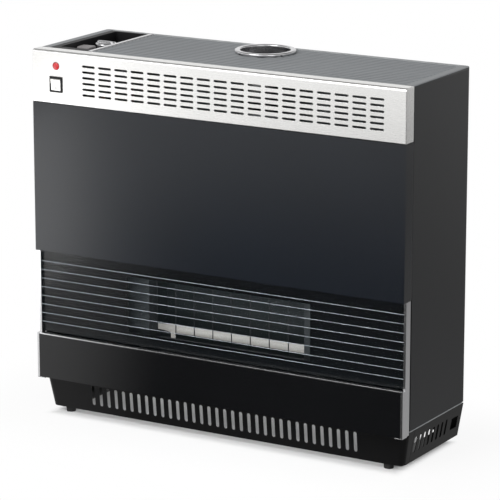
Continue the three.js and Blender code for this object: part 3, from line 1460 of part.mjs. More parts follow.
// Cross-flow rotor: curved blades between two end discs, with a shaft stub at each end.
function fanRotor() {
  const curve = arcLine(fanBladeDepth, 150, 90, 2).map(([a, b]) => (
    [fanRadius + a * fanBladeLean, b - fanBladeDepth]));
  const blade = prismX(sheetShape(curve, fanBlade), -fanHalfLength, fanHalfLength);
  const blades = Array.from({ length: fanBladeCount }, (_, i) => (
    blade.clone().rotateX((i / fanBladeCount) * 2 * Math.PI)));
  const discs = [-fanHalfLength, fanHalfLength - fanDisc].map((x) => discAlongX(fanRadius, x, x + fanDisc));
  const motorStub = discAlongX(fanShaft, motorFar - motorShaft, -fanHalfLength + past);
  const bushStub = discAlongX(fanShaft, fanHalfLength - past, housingHalf + fanEndRoom);
  return join(...discs, ...blades, motorStub, bushStub);
}

// Shaded pole motor on the left end plate: a laminated block with bearing bosses.
function fanMotor() {
  const half = motorWidth / 2;
  const block = box(motorFar, motorNear, -half, half, motorUnder, -motorUnder);
  const boss = discAlongX(bushRadius - bushRoom, motorNear - past, -housingHalf + sheet);
  const rearBoss = discAlongX(bushRadius, motorFar - motorBoss, motorFar + past);
  const standoff = discAlongX(standoffRadius, motorNear - past, -housingHalf - seat, pipeSides);
  const place = (half - standoffInset) * (motorHeight / motorWidth);
  const standoffs = [-place, place].map((at) => standoff.clone().translate(0, -at, at));
  const shaftBore = discAlongX(fanShaft + turnRoom, motorFar - motorBoss - past, 0);
  const coilWindow = box(motorFar - past, motorNear + past, -coilWidth / 2, coilWidth / 2,
    motorUnder - past, motorUnder + coilRecess);
  return cut(join(block, boss, rearBoss, ...standoffs), shaftBore, coilWindow);
}

function motorCoil() {
  const half = coilWidth / 2 - seat;
  const top = motorUnder + coilRecess - seat;
  return box(motorFar - coilRear, motorNear + coilFront, -half, half, top - coilHeight, top);
}

// Rubber mounted bush on the right end plate.
function fanBush() {
  const outer = bushRadius - bushRoom;
  const rim = bushRadius + bushFlange;
  const inner = fanShaft + turnRoom;
  const low = housingHalf - sheet;
  const face = housingHalf + seat;
  const top = face + bushFlangeThickness;
  return turned([[inner, low], [outer, low], [outer, face], [rim, face], [rim, top], [inner, top],
    [inner, low]]).rotateY(Math.PI / 2);
}

addPart(fan, "fan_housing", zinc, fanHousing());
addPart(fan, "fan_rotor", castAlloy, fanRotor());
addPart(fan, "fan_motor", heatSteel, fanMotor());
addPart(fan, "motor_coil", copper, motorCoil());
addPart(fan, "fan_bearing", rubber, fanBush());

// ---------------------------------------------------------------- mains connection
function terminalBox() {
  const half = terminalWidth / 2;
  const low = panTop + seat;
  return box(terminalX - half, terminalX + half, terminalRear - terminalDepth, terminalRear,
    low, low + terminalHeight);
}

// Cable gland of the back plate: a nut inside, a neck through the plate and a lip outside.
function cableGland() {
  const nut = glandNeck + glandNut;
  const lip = glandNeck + glandLip;
  const lipFront = sheet + seat;
  const tail = sheet + glandReach;
  return turned([[glandBore, -glandTail], [nut, -glandTail], [nut, -glandSeat], [glandNeck, -glandSeat],
    [glandNeck, lipFront], [lip, lipFront], [lip, tail], [glandBore, tail], [glandBore, -glandTail]],
  glandSides).rotateX(-Math.PI / 2);
}

addPart(heater, "terminal_box", blackPlastic, terminalBox());
addPart(heater, "cable_gland", rubber, cableGland(), cableX, backPlateFront, cableZ);

export default heater;
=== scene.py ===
import json
import math

import bmesh
import bpy
from mathutils import Matrix, Vector

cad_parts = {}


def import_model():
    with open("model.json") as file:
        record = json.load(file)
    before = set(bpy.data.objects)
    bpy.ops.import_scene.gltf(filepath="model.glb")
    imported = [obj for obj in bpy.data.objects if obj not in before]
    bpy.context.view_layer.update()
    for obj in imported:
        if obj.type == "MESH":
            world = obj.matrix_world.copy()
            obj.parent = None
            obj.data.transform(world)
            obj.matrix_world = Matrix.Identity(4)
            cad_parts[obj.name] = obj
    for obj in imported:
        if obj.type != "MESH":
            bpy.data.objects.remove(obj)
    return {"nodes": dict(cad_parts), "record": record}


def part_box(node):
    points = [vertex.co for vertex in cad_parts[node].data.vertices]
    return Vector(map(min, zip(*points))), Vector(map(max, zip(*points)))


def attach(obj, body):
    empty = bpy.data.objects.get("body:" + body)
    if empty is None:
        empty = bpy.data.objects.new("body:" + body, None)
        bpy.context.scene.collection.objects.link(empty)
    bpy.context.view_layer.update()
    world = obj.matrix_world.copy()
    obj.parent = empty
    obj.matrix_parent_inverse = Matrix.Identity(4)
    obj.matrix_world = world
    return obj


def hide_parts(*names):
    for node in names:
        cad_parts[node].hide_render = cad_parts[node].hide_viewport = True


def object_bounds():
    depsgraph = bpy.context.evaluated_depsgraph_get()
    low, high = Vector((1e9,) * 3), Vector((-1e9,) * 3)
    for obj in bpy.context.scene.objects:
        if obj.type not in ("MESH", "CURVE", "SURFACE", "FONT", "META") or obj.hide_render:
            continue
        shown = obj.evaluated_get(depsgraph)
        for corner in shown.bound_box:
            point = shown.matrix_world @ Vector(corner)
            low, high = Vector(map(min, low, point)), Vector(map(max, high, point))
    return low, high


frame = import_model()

# Wall mounted gas heater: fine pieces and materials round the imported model, in metres.
# X runs to the right, Y runs back to the wall, Z runs up from the floor.

MM = 0.001
CAD_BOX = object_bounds()
NODES = frame["nodes"]
SLOTS = {row["node"]: row["material_slot"] for row in frame["record"]["subparts"]}
FORWARD = Matrix.Rotation(math.pi / 2, 3, "X")  # turns the upright to the front

# ---------------------------------------------------------------- places read from the frame
STRIP_LOW, STRIP_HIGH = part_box("outlet_strip")
GLASS_LOW, GLASS_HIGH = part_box("front_glass")
KNOB_LOW, KNOB_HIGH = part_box("control_knob")
BUTTON_LOW, BUTTON_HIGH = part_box("igniter_button")
COLLAR_LOW, COLLAR_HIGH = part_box("flue_collar")
DUCT_LOW, DUCT_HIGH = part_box("flue_duct")
LAMP_LOW, LAMP_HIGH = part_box("lamp_lens")
BEZEL_LOW, BEZEL_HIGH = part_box("switch_bezel")
PLINTH_LOW, PLINTH_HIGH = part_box("plinth_front")
PLINTH_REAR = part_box("plinth_right")[1].y
FRONT = STRIP_LOW.y
TOP = STRIP_HIGH.z
LEFT = STRIP_LOW.x
RIGHT = STRIP_HIGH.x

# ---------------------------------------------------------------- edges and facets
SHEET = 1.2 * MM
PAST = 1 * MM  # how far a cutter or a hidden end goes past a face
EDGE = 0.35 * MM
SHEET_EDGE = 0.25 * MM
PANE_EDGE = 0.6 * MM
DIAL_EDGE = 0.4 * MM
GRIP_EDGE = 0.2 * MM
POINTER_EDGE = 0.1 * MM
CAP_EDGE = 0.15 * MM
FLUE_EDGE = 0.3 * MM
FOOT_EDGE = 0.2 * MM
NODE_EDGE = 0.3 * MM
WELD = 0.01 * MM
# Degrees: a sharper turn than this is an edge.
EDGE_ANGLE = 35
SEAM_ANGLE = 40
CURVE_ANGLE = 50

HOLE_SIDES = 16
STEM_SIDES = 24
MARK_SIDES = 32
SMALL_SIDES = 40
KNOB_SIDES = 64
FLUE_SIDES = 96
ARC_STEPS = 8
ROLL_STEPS = 6

# ---------------------------------------------------------------- fascia
SLOT_COLUMNS = 18
SLOT_ROWS = 6
SLOT_PITCH_X = 31.15 * MM
SLOT_PITCH_Z = 9.5 * MM
SLOT_LENGTH = 24.3 * MM
SLOT_WIDTH = 3.6 * MM
SLOT_FIRST_X = 109.8 * MM
SLOT_TOP_DROP = 20.7 * MM
STRIP_ROLL = 5 * MM
STRIP_CORNER = 1.6 * MM
STRIP_CORNER_STEPS = 4
STRIP_CORNER_ANGLE = 60  # degrees
LAMP_CLEARANCE = 0.3 * MM
BEZEL_LAP = 1.1 * MM  # how far the bezel covers the edge of its hole

# ---------------------------------------------------------------- outer glass
PRINT_DEPTH = 0.15 * MM
PRINT_GAP = 0.02 * MM
PRINT_WELD = 0.001 * MM
LINE_COUNT = 8
LINE_PITCH = 14.9 * MM
LINE_WIDTH = 0.85 * MM
LINE_TOP = 262.9 * MM
LINE_RISE = 0.12 * MM
LINE_MARGIN = 1 * MM
WINDOW_HALF = 171 * MM
WINDOW_LOW = 162 * MM
WINDOW_HIGH = 256 * MM

# ---------------------------------------------------------------- controls
KNOB_RIM_WIDTH = 4 * MM
KNOB_FLOOR = 3 * MM  # height of the hollow underside
KNOB_GRIP = 3 * MM  # height of the grip above the dial
KNOB_CROWN = 1.6 * MM  # rise of the domed middle
KNOB_RIM = ((0, 2), (1, 0.5), (2, 0), (3, 0.5))  # inset from the edge and drop below the dial, in mm
GRIP_TOP = ((0, 2.6), (0.5, 1.2), (1.4, 0.3), (2.4, 0))  # inset and drop below the top, in mm
GRIP_SHORTER = 3 * MM  # than the knob is wide
GRIP_WIDTH = 8 * MM
GRIP_STEPS = 12
POINTER_START = 7 * MM  # both ends from the dial's edge
POINTER_END = 3.4 * MM
POINTER_HALF = 0.6 * MM
POINTER_DEPTH = 0.5 * MM
POINTER_RISE = 0.05 * MM

# Inset and drop below the button's top, in mm, from the cap's foot to its dished middle.
CAP_STEPS = ((0.4, 18), (0, 17.6), (0, 2.2), (0.3, 1.2), (1, 0.5), (2.2, 0), (4, 0.2), (7, 0.6))
CAP_CORNER = 2.4 * MM
CAP_LEAST_CORNER = 0.6 * MM
CAP_CORNER_STEPS = 6
BUTTON_STEM = 4 * MM  # radius

ROCKER_TILT = math.radians(8)
ROCKER_PIVOT = 3 * MM  # behind the front face
ROCKER_FACE = 5.05 * MM  # depth of each half's middle before the pivot, in the rocker's own frame
ROCKER_MIDDLE = 4.95 * MM
MARK_HALF = 0.06 * MM  # half of the thickness
STROKE_HALF_WIDTH = 0.4 * MM
STROKE_HALF_HEIGHT = 1.7 * MM
RING_INNER = 1.1 * MM  # radius
RING_OUTER = 1.8 * MM  # radius

LAMP_STEM = 7 * MM
LAMP_FLANGE = 1.6 * MM  # how much the lens is wider than its stem, to one side
LAMP_FOOT = 0.2  # straight share of the lens's height

# ---------------------------------------------------------------- flue
FLUE_BORE = 41 * MM  # radius
FLUE_WALL = 1.5 * MM
FLUE_ROLL = 2.4 * MM
FLUE_SEAT = 0.3 * MM  # gap between the collar and the top
DUCT_LIP = 4.5 * MM  # inward reach of the rim

# ---------------------------------------------------------------- plinth and feet
PLINTH_TOP_INSET = 1.8 * MM
PLINTH_BOTTOM_INSET = 12 * MM
PLINTH_TOP_FRONT = 20 * MM
PLINTH_BOTTOM_FRONT = 26 * MM
PLINTH_CORNER = 10 * MM
PLINTH_FLANGE = 40 * MM
PLINTH_LEDGE = 24 * MM
PLINTH_SEAM = 47 * MM
PLINTH_RETURN = 60 * MM
PLINTH_GAP = 0.3 * MM
VENT_COUNT = 34
VENT_PITCH = 15.1 * MM
VENT_WIDTH = 6.2 * MM
VENT_HEIGHT = 34 * MM
VENT_RISE = 0.5 * MM
SIDE_VENT_COUNT = 7
SIDE_VENT_HEIGHT = 27 * MM
SIDE_VENT_FIRST = 74.5 * MM
CORNER_VENT_AT = 57.5 * MM
CORNER_VENT_WIDTH = 10 * MM
PIPE_HOLE = (184 * MM, 207 * MM, 18 * MM, 38 * MM)  # from the front face, above the plinth's foot
STUD_HOLE = 2.8 * MM  # radius
FAR = 1.0  # past every side of the plinth

FOOT_COUNT = 4
FOOT_PAD = 8.7 * MM  # height of the rubber
FOOT_STUD = 2.5 * MM  # radius
FOOT_ROUNDING = ((1.5, 0), (0.4, 0.4), (0, 1.5))  # inset and height, in mm
FOOT_CHAMFER = 1 * MM

# ---------------------------------------------------------------- materials
NOISE_RANGE = (0.3, 0.7)  # nearly all values of a noise lie in it
CLOUD_SCALE = 9.0
CLOUD_DETAIL = 3.0
LEAST_ROUGHNESS = 0.02
COAT_ROUGHNESS = 0.08
WIPE_SCALE = 14.0
WIPE_STRETCH = (1, 1, 3)
WIPE_SHADE = 0.9
GLASS_ROUGHNESS = (0.03, 0.06)
CRYSTAL_SCALE = 90.0
ZINC_GLOSS_SCALE = 300.0
ZINC_GRAIN_SCALE = 700.0
ZINC_ROUGHNESS = (0.35, 0.5)
ZINC_DEPTH = 0.02 * MM
# Painted glow on the burner tube, which is no lamp: its emission stands in for light falling on it.
PAINTED_GLOW_COLOUR = (1.0, 0.97, 0.92, 1)
PAINTED_GLOW = 0.3
PAINTED_SHEEN_FACING = 0.7  # least upward share of a face's direction for the lighter top grey: painted sheen on the side panels' upward faces
FINE_NODES = {"fan_rotor", "guard_wires", "pilot_pipe", "burner_pipe", "inlet_pipe"}  # need no rounding

# ---------------------------------------------------------------- studio and camera
WHITE = (1, 1, 1, 1)
FLOOR_GREY = (0.85, 0.85, 0.85, 1)
FLOOR_ROUGHNESS = 0.9
FLOOR_REACH = 40  # to each side
FLOOR_DROP = 0.2 * MM
LEFT_SIDE = (-1, 0.614, 0)  # direction on the floor
AMBIENT = 0.5
# Each line: the range of a distance or height, then the white share at its two ends.
CEILING_MIRRORED = (0.25, 0.7, 1.0, 0.35)  # by the height of the direction
REAR_MIRRORED = (0.0, 0.5, 1.0, 0.6)  # by how far it points to the rear
FLOOR_UNDER = (-0.03, -0.005, 0.12, 1.0)  # by the distance outside the footprint
FLOOR_SEEN = (0.0, 0.25, 0.9, 1.0)
FLOOR_MIRRORED = (1.3, 2.7, 0.06, 1.0)  # by the distance from the middle
FLOOR_LEFT = (0.0, 0.32, 0.0, 1.0)  # by the reach to the left side
FLOOR_BESIDE = (-0.3, 0.0, 0.0, 1.0)  # by the place from front to back
BESIDE_FADE = (0.45, 1.3, 0.42, 0.24)  # by the place to the right
FLOOR_RIGHT = (0.4, 1.0, 1.0, 0.3)

# Each light: its place, what it aims at, its width and height, its power in watts.
LIGHTS = {
    "key": ((-0.9, -2.7, 2.9), (0, 0, 0.3), (2.2, 2.2), 62),
    "fill": ((2.8, -2.2, 1.6), (0, 0, 0.3), (1.6, 1.6), 12),
    "side_card": ((-0.78, -0.72, 0.19), (0.1, -0.9, 0.19), (0.5, 0.36), 1.1),
    "rear_card": ((-1.35, 2.2, 1.2), (0, 0, 0.62), (2.4, 0.9), 2.5),
    "burner_light": ((0.15, -0.8, 0.13), (0, 0, 0.19), (0.5, 0.12), 9),
}
NOT_IN_GLOSS = "burner_light"  # reaches the burner through the sight window, and shows in no gloss

CAMERA_PLACE = (2.3635, -4.0144, 1.4657)
CAMERA_PITCH = 0.2447
CAMERA_TURN = 0.5313
CAMERA_LENS = 211.37
CAMERA_SENSOR = 36


# ---------------------------------------------------------------- material helpers
def node_material(name):
    material = bpy.data.materials.new(name)
    material.use_nodes = True
    tree = material.node_tree
    return material, tree, tree.nodes["Principled BSDF"]


def link(tree, source, target):
    tree.links.new(source, target)


def noise(tree, scale, stretch=(1, 1, 1), detail=4.0):
    """A noise in the object's own metres, stretched along its axes."""
    place = tree.nodes.new("ShaderNodeTexCoord")
    mapping = tree.nodes.new("ShaderNodeMapping")
    mapping.inputs["Scale"].default_value = stretch
    texture = tree.nodes.new("ShaderNodeTexNoise")
    texture.inputs["Scale"].default_value = scale
    texture.inputs["Detail"].default_value = detail
    link(tree, place.outputs["Object"], mapping.inputs["Vector"])
    link(tree, mapping.outputs["Vector"], texture.inputs["Vector"])
    return texture.outputs["Fac"]


def spread(tree, source, low, high):
    """Maps a noise onto a range."""
    ramp = tree.nodes.new("ShaderNodeMapRange")
    ramp.inputs["From Min"].default_value, ramp.inputs["From Max"].default_value = NOISE_RANGE
    ramp.inputs["To Min"].default_value = low
    ramp.inputs["To Max"].default_value = high
    link(tree, source, ramp.inputs["Value"])
    return ramp.outputs["Result"]


def tinted(tree, source, dark, light):
    """Blends two colours by a noise."""
    mix = tree.nodes.new("ShaderNodeMix")
    mix.data_type = "RGBA"
    mix.inputs["A"].default_value = (*dark, 1)
    mix.inputs["B"].default_value = (*light, 1)
    link(tree, spread(tree, source, 0, 1), mix.inputs["Factor"])
    return mix.outputs["Result"]


def bump(tree, shader, source, depth):
    node = tree.nodes.new("ShaderNodeBump")
    node.inputs["Strength"].default_value = 1.0
    node.inputs["Distance"].default_value = depth
    link(tree, source, node.inputs["Height"])
    link(tree, node.outputs["Normal"], shader.inputs["Normal"])


def surface(name, color, roughness, metallic=0.0, shift=0.06, gloss_shift=0.05, grain=900.0,
            stretch=(1, 1, 1), depth=0.02 * MM, specular=0.5, coat=0.0):
    """An even finish with fine grain: colour, roughness and height follow a noise."""
    material, tree, shader = node_material(name)
    cloud = noise(tree, CLOUD_SCALE, detail=CLOUD_DETAIL)
    fine = noise(tree, grain, stretch)
    dark = tuple(c * (1 - shift) for c in color)
    light = tuple(min(1.0, c * (1 + shift)) for c in color)
    link(tree, tinted(tree, cloud, dark, light), shader.inputs["Base Color"])
    low, high = max(LEAST_ROUGHNESS, roughness - gloss_shift), roughness + gloss_shift
    link(tree, spread(tree, fine, low, high), shader.inputs["Roughness"])
    bump(tree, shader, fine, depth)
    shader.inputs["Metallic"].default_value = metallic
    shader.inputs["Specular IOR Level"].default_value = specular
    shader.inputs["Coat Weight"].default_value = coat
    shader.inputs["Coat Roughness"].default_value = COAT_ROUGHNESS
    return material


def glass(name, color, alpha):
    """Thin tinted glass: mostly clear, with surface gloss and faint wipe marks."""
    material, tree, shader = node_material(name)
    streaks = noise(tree, WIPE_SCALE, WIPE_STRETCH)
    dark = tuple(c * WIPE_SHADE for c in color)
    link(tree, tinted(tree, streaks, dark, color), shader.inputs["Base Color"])
    link(tree, spread(tree, streaks, *GLASS_ROUGHNESS), shader.inputs["Roughness"])
    shader.inputs["Alpha"].default_value = alpha
    shader.inputs["Specular IOR Level"].default_value = 0.5
    return material


def galvanised(name, dark, light):
    """Zinc coated sheet with its crystal pattern."""
    material, tree, shader = node_material(name)
    place = tree.nodes.new("ShaderNodeTexCoord")
    cells = tree.nodes.new("ShaderNodeTexVoronoi")
    cells.inputs["Scale"].default_value = CRYSTAL_SCALE
    link(tree, place.outputs["Object"], cells.inputs["Vector"])
    tone = tree.nodes.new("ShaderNodeSeparateColor")
    link(tree, cells.outputs["Color"], tone.inputs["Color"])
    mix = tree.nodes.new("ShaderNodeMix")
    mix.data_type = "RGBA"
    mix.inputs["A"].default_value = (*dark, 1)
    mix.inputs["B"].default_value = (*light, 1)
    link(tree, tone.outputs["Red"], mix.inputs["Factor"])
    link(tree, mix.outputs["Result"], shader.inputs["Base Color"])
    link(tree, spread(tree, noise(tree, ZINC_GLOSS_SCALE), *ZINC_ROUGHNESS), shader.inputs["Roughness"])
    bump(tree, shader, noise(tree, ZINC_GRAIN_SCALE), ZINC_DEPTH)
    shader.inputs["Metallic"].default_value = 0.9
    return material


# After the colour of a surface: roughness, metallic, shift of the colour, shift of the roughness, grain.
MATERIALS = {
    "stainless": surface("brushed_stainless", (0.93, 0.925, 0.91), 0.28, 1.0, 0.02, 0.06, 60.0, (1, 40, 40),
                         0.008 * MM),
    "bright_trim": surface("bright_trim", (0.62, 0.62, 0.63), 0.2, 1.0, 0.03, 0.05, 300.0, depth=0.006 * MM),
    "satin_black": surface("satin_black", (0.0022, 0.0034, 0.0056), 0.22, 0.0, 0.08, 0.03, 1400.0,
                           depth=0.006 * MM),
    "gloss_black": surface("gloss_black", (0.0015, 0.0016, 0.0019), 0.16, 0.0, 0.08, 0.02, 500.0,
                           depth=0.003 * MM),
    "case_grey": surface("case_grey", (0.010, 0.0105, 0.012), 0.38, 0.0, 0.05, 0.05, 1500.0, depth=0.02 * MM,
                         specular=0.3),
    # Lighter grey of the top grille; on the side panels' upward faces it is painted sheen.
    "top_grey": surface("top_grey", (0.22, 0.232, 0.243), 0.42, 0.0, 0.05, 0.05, 1500.0, depth=0.02 * MM),
    "black_plastic": surface("black_plastic", (0.010, 0.010, 0.011), 0.5, 0.0, 0.1, 0.05, 1800.0,
                             depth=0.03 * MM, specular=0.3),
    "white_plastic": surface("white_plastic", (0.82, 0.81, 0.79), 0.35, 0.0, 0.02, 0.04, 900.0,
                             depth=0.01 * MM),
    "grey_plastic": surface("grey_plastic", (0.30, 0.285, 0.285), 0.42, 0.0, 0.05, 0.05, 1500.0,
                            depth=0.02 * MM),
    "red_lens": surface("red_lens", (0.40, 0.018, 0.022), 0.15, 0.0, 0.1, 0.03, 500.0,
                        depth=0.004 * MM, coat=0.6),
    "tinted_glass": glass("tinted_glass", (0.008, 0.011, 0.012), 0.08),
    "clear_glass": glass("clear_glass", (0.012, 0.019, 0.020), 0.07),
    "zinc_steel": galvanised("zinc_steel", (0.34, 0.36, 0.37), (0.48, 0.50, 0.51)),
    "heat_steel": surface("heat_steel", (0.022, 0.026, 0.029), 0.5, 0.2, 0.12, 0.1, 500.0, depth=0.03 * MM),
    "burner_steel": surface("burner_steel", (0.90, 0.91, 0.89), 0.5, 0.1, 0.04, 0.06, 400.0, (0.2, 1, 1),
                            0.01 * MM),
    "cast_alloy": surface("cast_alloy", (0.33, 0.34, 0.35), 0.55, 0.8, 0.1, 0.1, 700.0, depth=0.08 * MM),
    "brass": surface("brass", (0.55, 0.38, 0.14), 0.35, 1.0, 0.08, 0.08, 400.0),
    "copper": surface("copper", (0.58, 0.27, 0.16), 0.38, 1.0, 0.15, 0.1, 120.0),
    "black_rubber": surface("black_rubber", (0.007, 0.007, 0.007), 0.8, 0.0, 0.1, 0.05, 1200.0,
                            depth=0.05 * MM, specular=0.3),
    "white_ceramic": surface("white_ceramic", (0.72, 0.70, 0.64), 0.45, 0.0, 0.04, 0.05, 900.0),
}
# Darker, duller copy of the satin black for the plinth: painted shade under the case.
PLINTH_SHADED_BLACK = surface("plinth_shaded_black", (0.0016, 0.0016, 0.0017), 0.36, 0.0, 0.05, 0.05, 1500.0,
                       depth=0.02 * MM, specular=0.18)
PRINT_BLACK = surface("print_black", (0.0014, 0.0016, 0.0022), 0.2, 0.0, 0.1, 0.04, 400.0, specular=0.3)
PRINT_SILVER = surface("print_silver", (0.25, 0.275, 0.30), 0.4, 0.4, 0.06, 0.05, 600.0)
WIRE_STEEL = surface("wire_steel", (0.035, 0.038, 0.042), 0.4, 0.6, 0.1, 0.08, 500.0)
MARK_GREY = surface("mark_grey", (0.10, 0.10, 0.11), 0.5, 0.0, 0.05, 0.05, 900.0)


# ---------------------------------------------------------------- mesh helpers
def make(name, bm, slot, body="case", material=None):
    """Turns a bmesh into a piece that rides on a body; cutters, raw shells and the floor ride on none."""
    bmesh.ops.recalc_face_normals(bm, faces=bm.faces)
    mesh = bpy.data.meshes.new(name)
    bm.to_mesh(mesh)
    bm.free()
    piece = bpy.data.objects.new(name, mesh)
    bpy.context.scene.collection.objects.link(piece)
    mesh.materials.append(material or MATERIALS[slot])
    if body:
        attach(piece, body)
    return piece


def middle(low, high):
    return [(a + b) / 2 for a, b in zip(low, high)]


def quarter(steps):
    """Angles of a quarter turn, both ends included."""
    return [math.pi / 2 * i / steps for i in range(steps + 1)]


def add_box(bm, low, high):
    corners = [bm.verts.new((x, y, z)) for x in (low[0], high[0]) for y in (low[1], high[1])
               for z in (low[2], high[2])]
    for face in ((0, 1, 3, 2), (4, 6, 7, 5), (0, 4, 5, 1), (2, 3, 7, 6), (0, 2, 6, 4), (1, 5, 7, 3)):
        bm.faces.new([corners[i] for i in face])


def add_skin(bm, sections):
    """A closed skin over outlines with equal point counts."""
    rings = [[bm.verts.new(point) for point in section] for section in sections]
    count = len(rings[0])
    for lower, upper in zip(rings, rings[1:]):
        for i in range(count):
            j = (i + 1) % count
            bm.faces.new((lower[i], lower[j], upper[j], upper[i]))
    bm.faces.new(rings[0][::-1])
    bm.faces.new(rings[-1])


def add_turned(bm, profile, centre, sides, matrix=None):
    """A profile of (radius, height) points turned round Z; closed where it doesn't touch the axis."""
    turn = matrix or Matrix.Identity(3)
    centre = Vector(centre)
    closed = profile[0][0] > 0
    rings = []
    for radius, height in profile:
        if radius == 0:
            rings.append([bm.verts.new(centre + turn @ Vector((0, 0, height)))])
            continue
        ring = []
        for i in range(sides):
            angle = 2 * math.pi * i / sides
            point = Vector((radius * math.cos(angle), radius * math.sin(angle), height))
            ring.append(bm.verts.new(centre + turn @ point))
        rings.append(ring)
    pairs = list(zip(rings, rings[1:]))
    if closed:
        pairs.append((rings[-1], rings[0]))
    for lower, upper in pairs:
        for i in range(sides):
            j = (i + 1) % sides
            if len(lower) == 1:
                bm.faces.new((lower[0], upper[i], upper[j]))
            elif len(upper) == 1:
                bm.faces.new((lower[i], upper[0], lower[j]))
            else:
                bm.faces.new((lower[i], lower[j], upper[j], upper[i]))


def slot_outline(length, width, steps=ARC_STEPS):
    """Points of a straight slot with half-round ends, long side along the first axis."""
    reach = (length - width) / 2
    points = []
    for side in (1, -1):
        for i in range(steps + 1):
            angle = -side * math.pi / 2 + math.pi * i / steps
            points.append((side * reach + width / 2 * math.cos(angle), width / 2 * math.sin(angle)))
    return points


def rounded_outline(width, height, radius):
    """Points of a rectangle with round corners, centred on the origin."""
    points = []
    for corner, (sx, sy) in enumerate(((1, 1), (-1, 1), (-1, -1), (1, -1))):
        for i in range(CAP_CORNER_STEPS + 1):
            angle = math.pi / 2 * (corner + i / CAP_CORNER_STEPS)
            points.append((sx * (width / 2 - radius) + radius * math.cos(angle),
                           sy * (height / 2 - radius) + radius * math.sin(angle)))
    return points


def bake(piece):
    """Applies a piece's modifiers to its mesh."""
    evaluated = piece.evaluated_get(bpy.context.evaluated_depsgraph_get())
    mesh = bpy.data.meshes.new_from_object(evaluated)
    piece.modifiers.clear()
    piece.data = mesh


def carve(piece, bm):
    """Cuts the solids of a bmesh out of a piece."""
    cutter = make("cutter", bm, None, body=None, material=piece.data.materials[0])
    modifier = piece.modifiers.new("cut", "BOOLEAN")
    modifier.operation = "DIFFERENCE"
    modifier.solver = "EXACT"
    modifier.object = cutter
    bake(piece)
    bpy.data.objects.remove(cutter)


def carve_box(piece, low, high):
    bm = bmesh.new()
    add_box(bm, low, high)
    carve(piece, bm)


def soften(piece, width=EDGE, angle=EDGE_ANGLE, segments=2, weld=False):
    """Rounds the sharp edges of a piece and shades it smoothly."""
    if weld:
        merge = piece.modifiers.new("merge", "WELD")
        merge.merge_threshold = WELD
    bevel = piece.modifiers.new("edges", "BEVEL")
    bevel.width = width
    bevel.segments = segments
    bevel.limit_method = "ANGLE"
    bevel.angle_limit = math.radians(angle)
    bevel.use_clamp_overlap = True
    bevel.harden_normals = False
    if not weld:
        for polygon in piece.data.polygons:
            polygon.use_smooth = True
    shade = piece.modifiers.new("shade", "WEIGHTED_NORMAL")
    shade.keep_sharp = False
    shade.weight = 100
    return piece


# ---------------------------------------------------------------- fascia
def strip_profile(inset, rear):
    """Outline in (Y, Z) of the fascia: flat front, rolled top edge."""
    radius = STRIP_ROLL - inset
    points = [(rear, STRIP_LOW.z + inset), (FRONT + inset, STRIP_LOW.z + inset)]
    for turn in quarter(ARC_STEPS):
        angle = math.pi - turn
        points.append((FRONT + STRIP_ROLL + radius * math.cos(angle),
                       TOP - STRIP_ROLL + radius * math.sin(angle)))
    points.append((rear, TOP - inset))
    return points


def fascia_holes():
    """Air slots, and the holes of the lamp and the switch."""
    bm = bmesh.new()
    before = FRONT - PAST
    behind = FRONT + 3 * SHEET
    outline = slot_outline(SLOT_LENGTH, SLOT_WIDTH)
    for column in range(SLOT_COLUMNS):
        for row in range(SLOT_ROWS):
            x = LEFT + SLOT_FIRST_X + column * SLOT_PITCH_X
            z = TOP - SLOT_TOP_DROP - row * SLOT_PITCH_Z
            add_skin(bm, [[(x + a, y, z + b) for a, b in outline] for y in (before, behind)])
    x, _, z = middle(LAMP_LOW, LAMP_HIGH)
    hole = (LAMP_HIGH.x - LAMP_LOW.x) / 2 + LAMP_CLEARANCE
    profile = [(0, -2 * SHEET), (hole, -2 * SHEET), (hole, PAST), (0, PAST)]
    add_turned(bm, profile, (x, FRONT, z), SMALL_SIDES, FORWARD)
    add_box(bm, (BEZEL_LOW.x + BEZEL_LAP, before, BEZEL_LOW.z + BEZEL_LAP),
            (BEZEL_HIGH.x - BEZEL_LAP, behind, BEZEL_HIGH.z - BEZEL_LAP))
    return bm


def fascia():
    bm = bmesh.new()
    outer = strip_profile(0, STRIP_HIGH.y)
    add_skin(bm, [[(x, y, z) for y, z in outer] for x in (LEFT, RIGHT)])
    piece = make("fascia", bm, "stainless")
    corners = piece.modifiers.new("corners", "BEVEL")
    corners.width = STRIP_CORNER
    corners.segments = STRIP_CORNER_STEPS
    corners.limit_method = "ANGLE"
    corners.angle_limit = math.radians(STRIP_CORNER_ANGLE)
    bake(piece)

    bm = bmesh.new()
    inner = strip_profile(SHEET, STRIP_HIGH.y + PAST)
    add_skin(bm, [[(x, y, z) for y, z in inner] for x in (LEFT + SHEET, RIGHT - SHEET)])
    carve(piece, bm)
    carve(piece, fascia_holes())
    soften(piece, SHEET_EDGE, CURVE_ANGLE)
    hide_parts("outlet_strip")


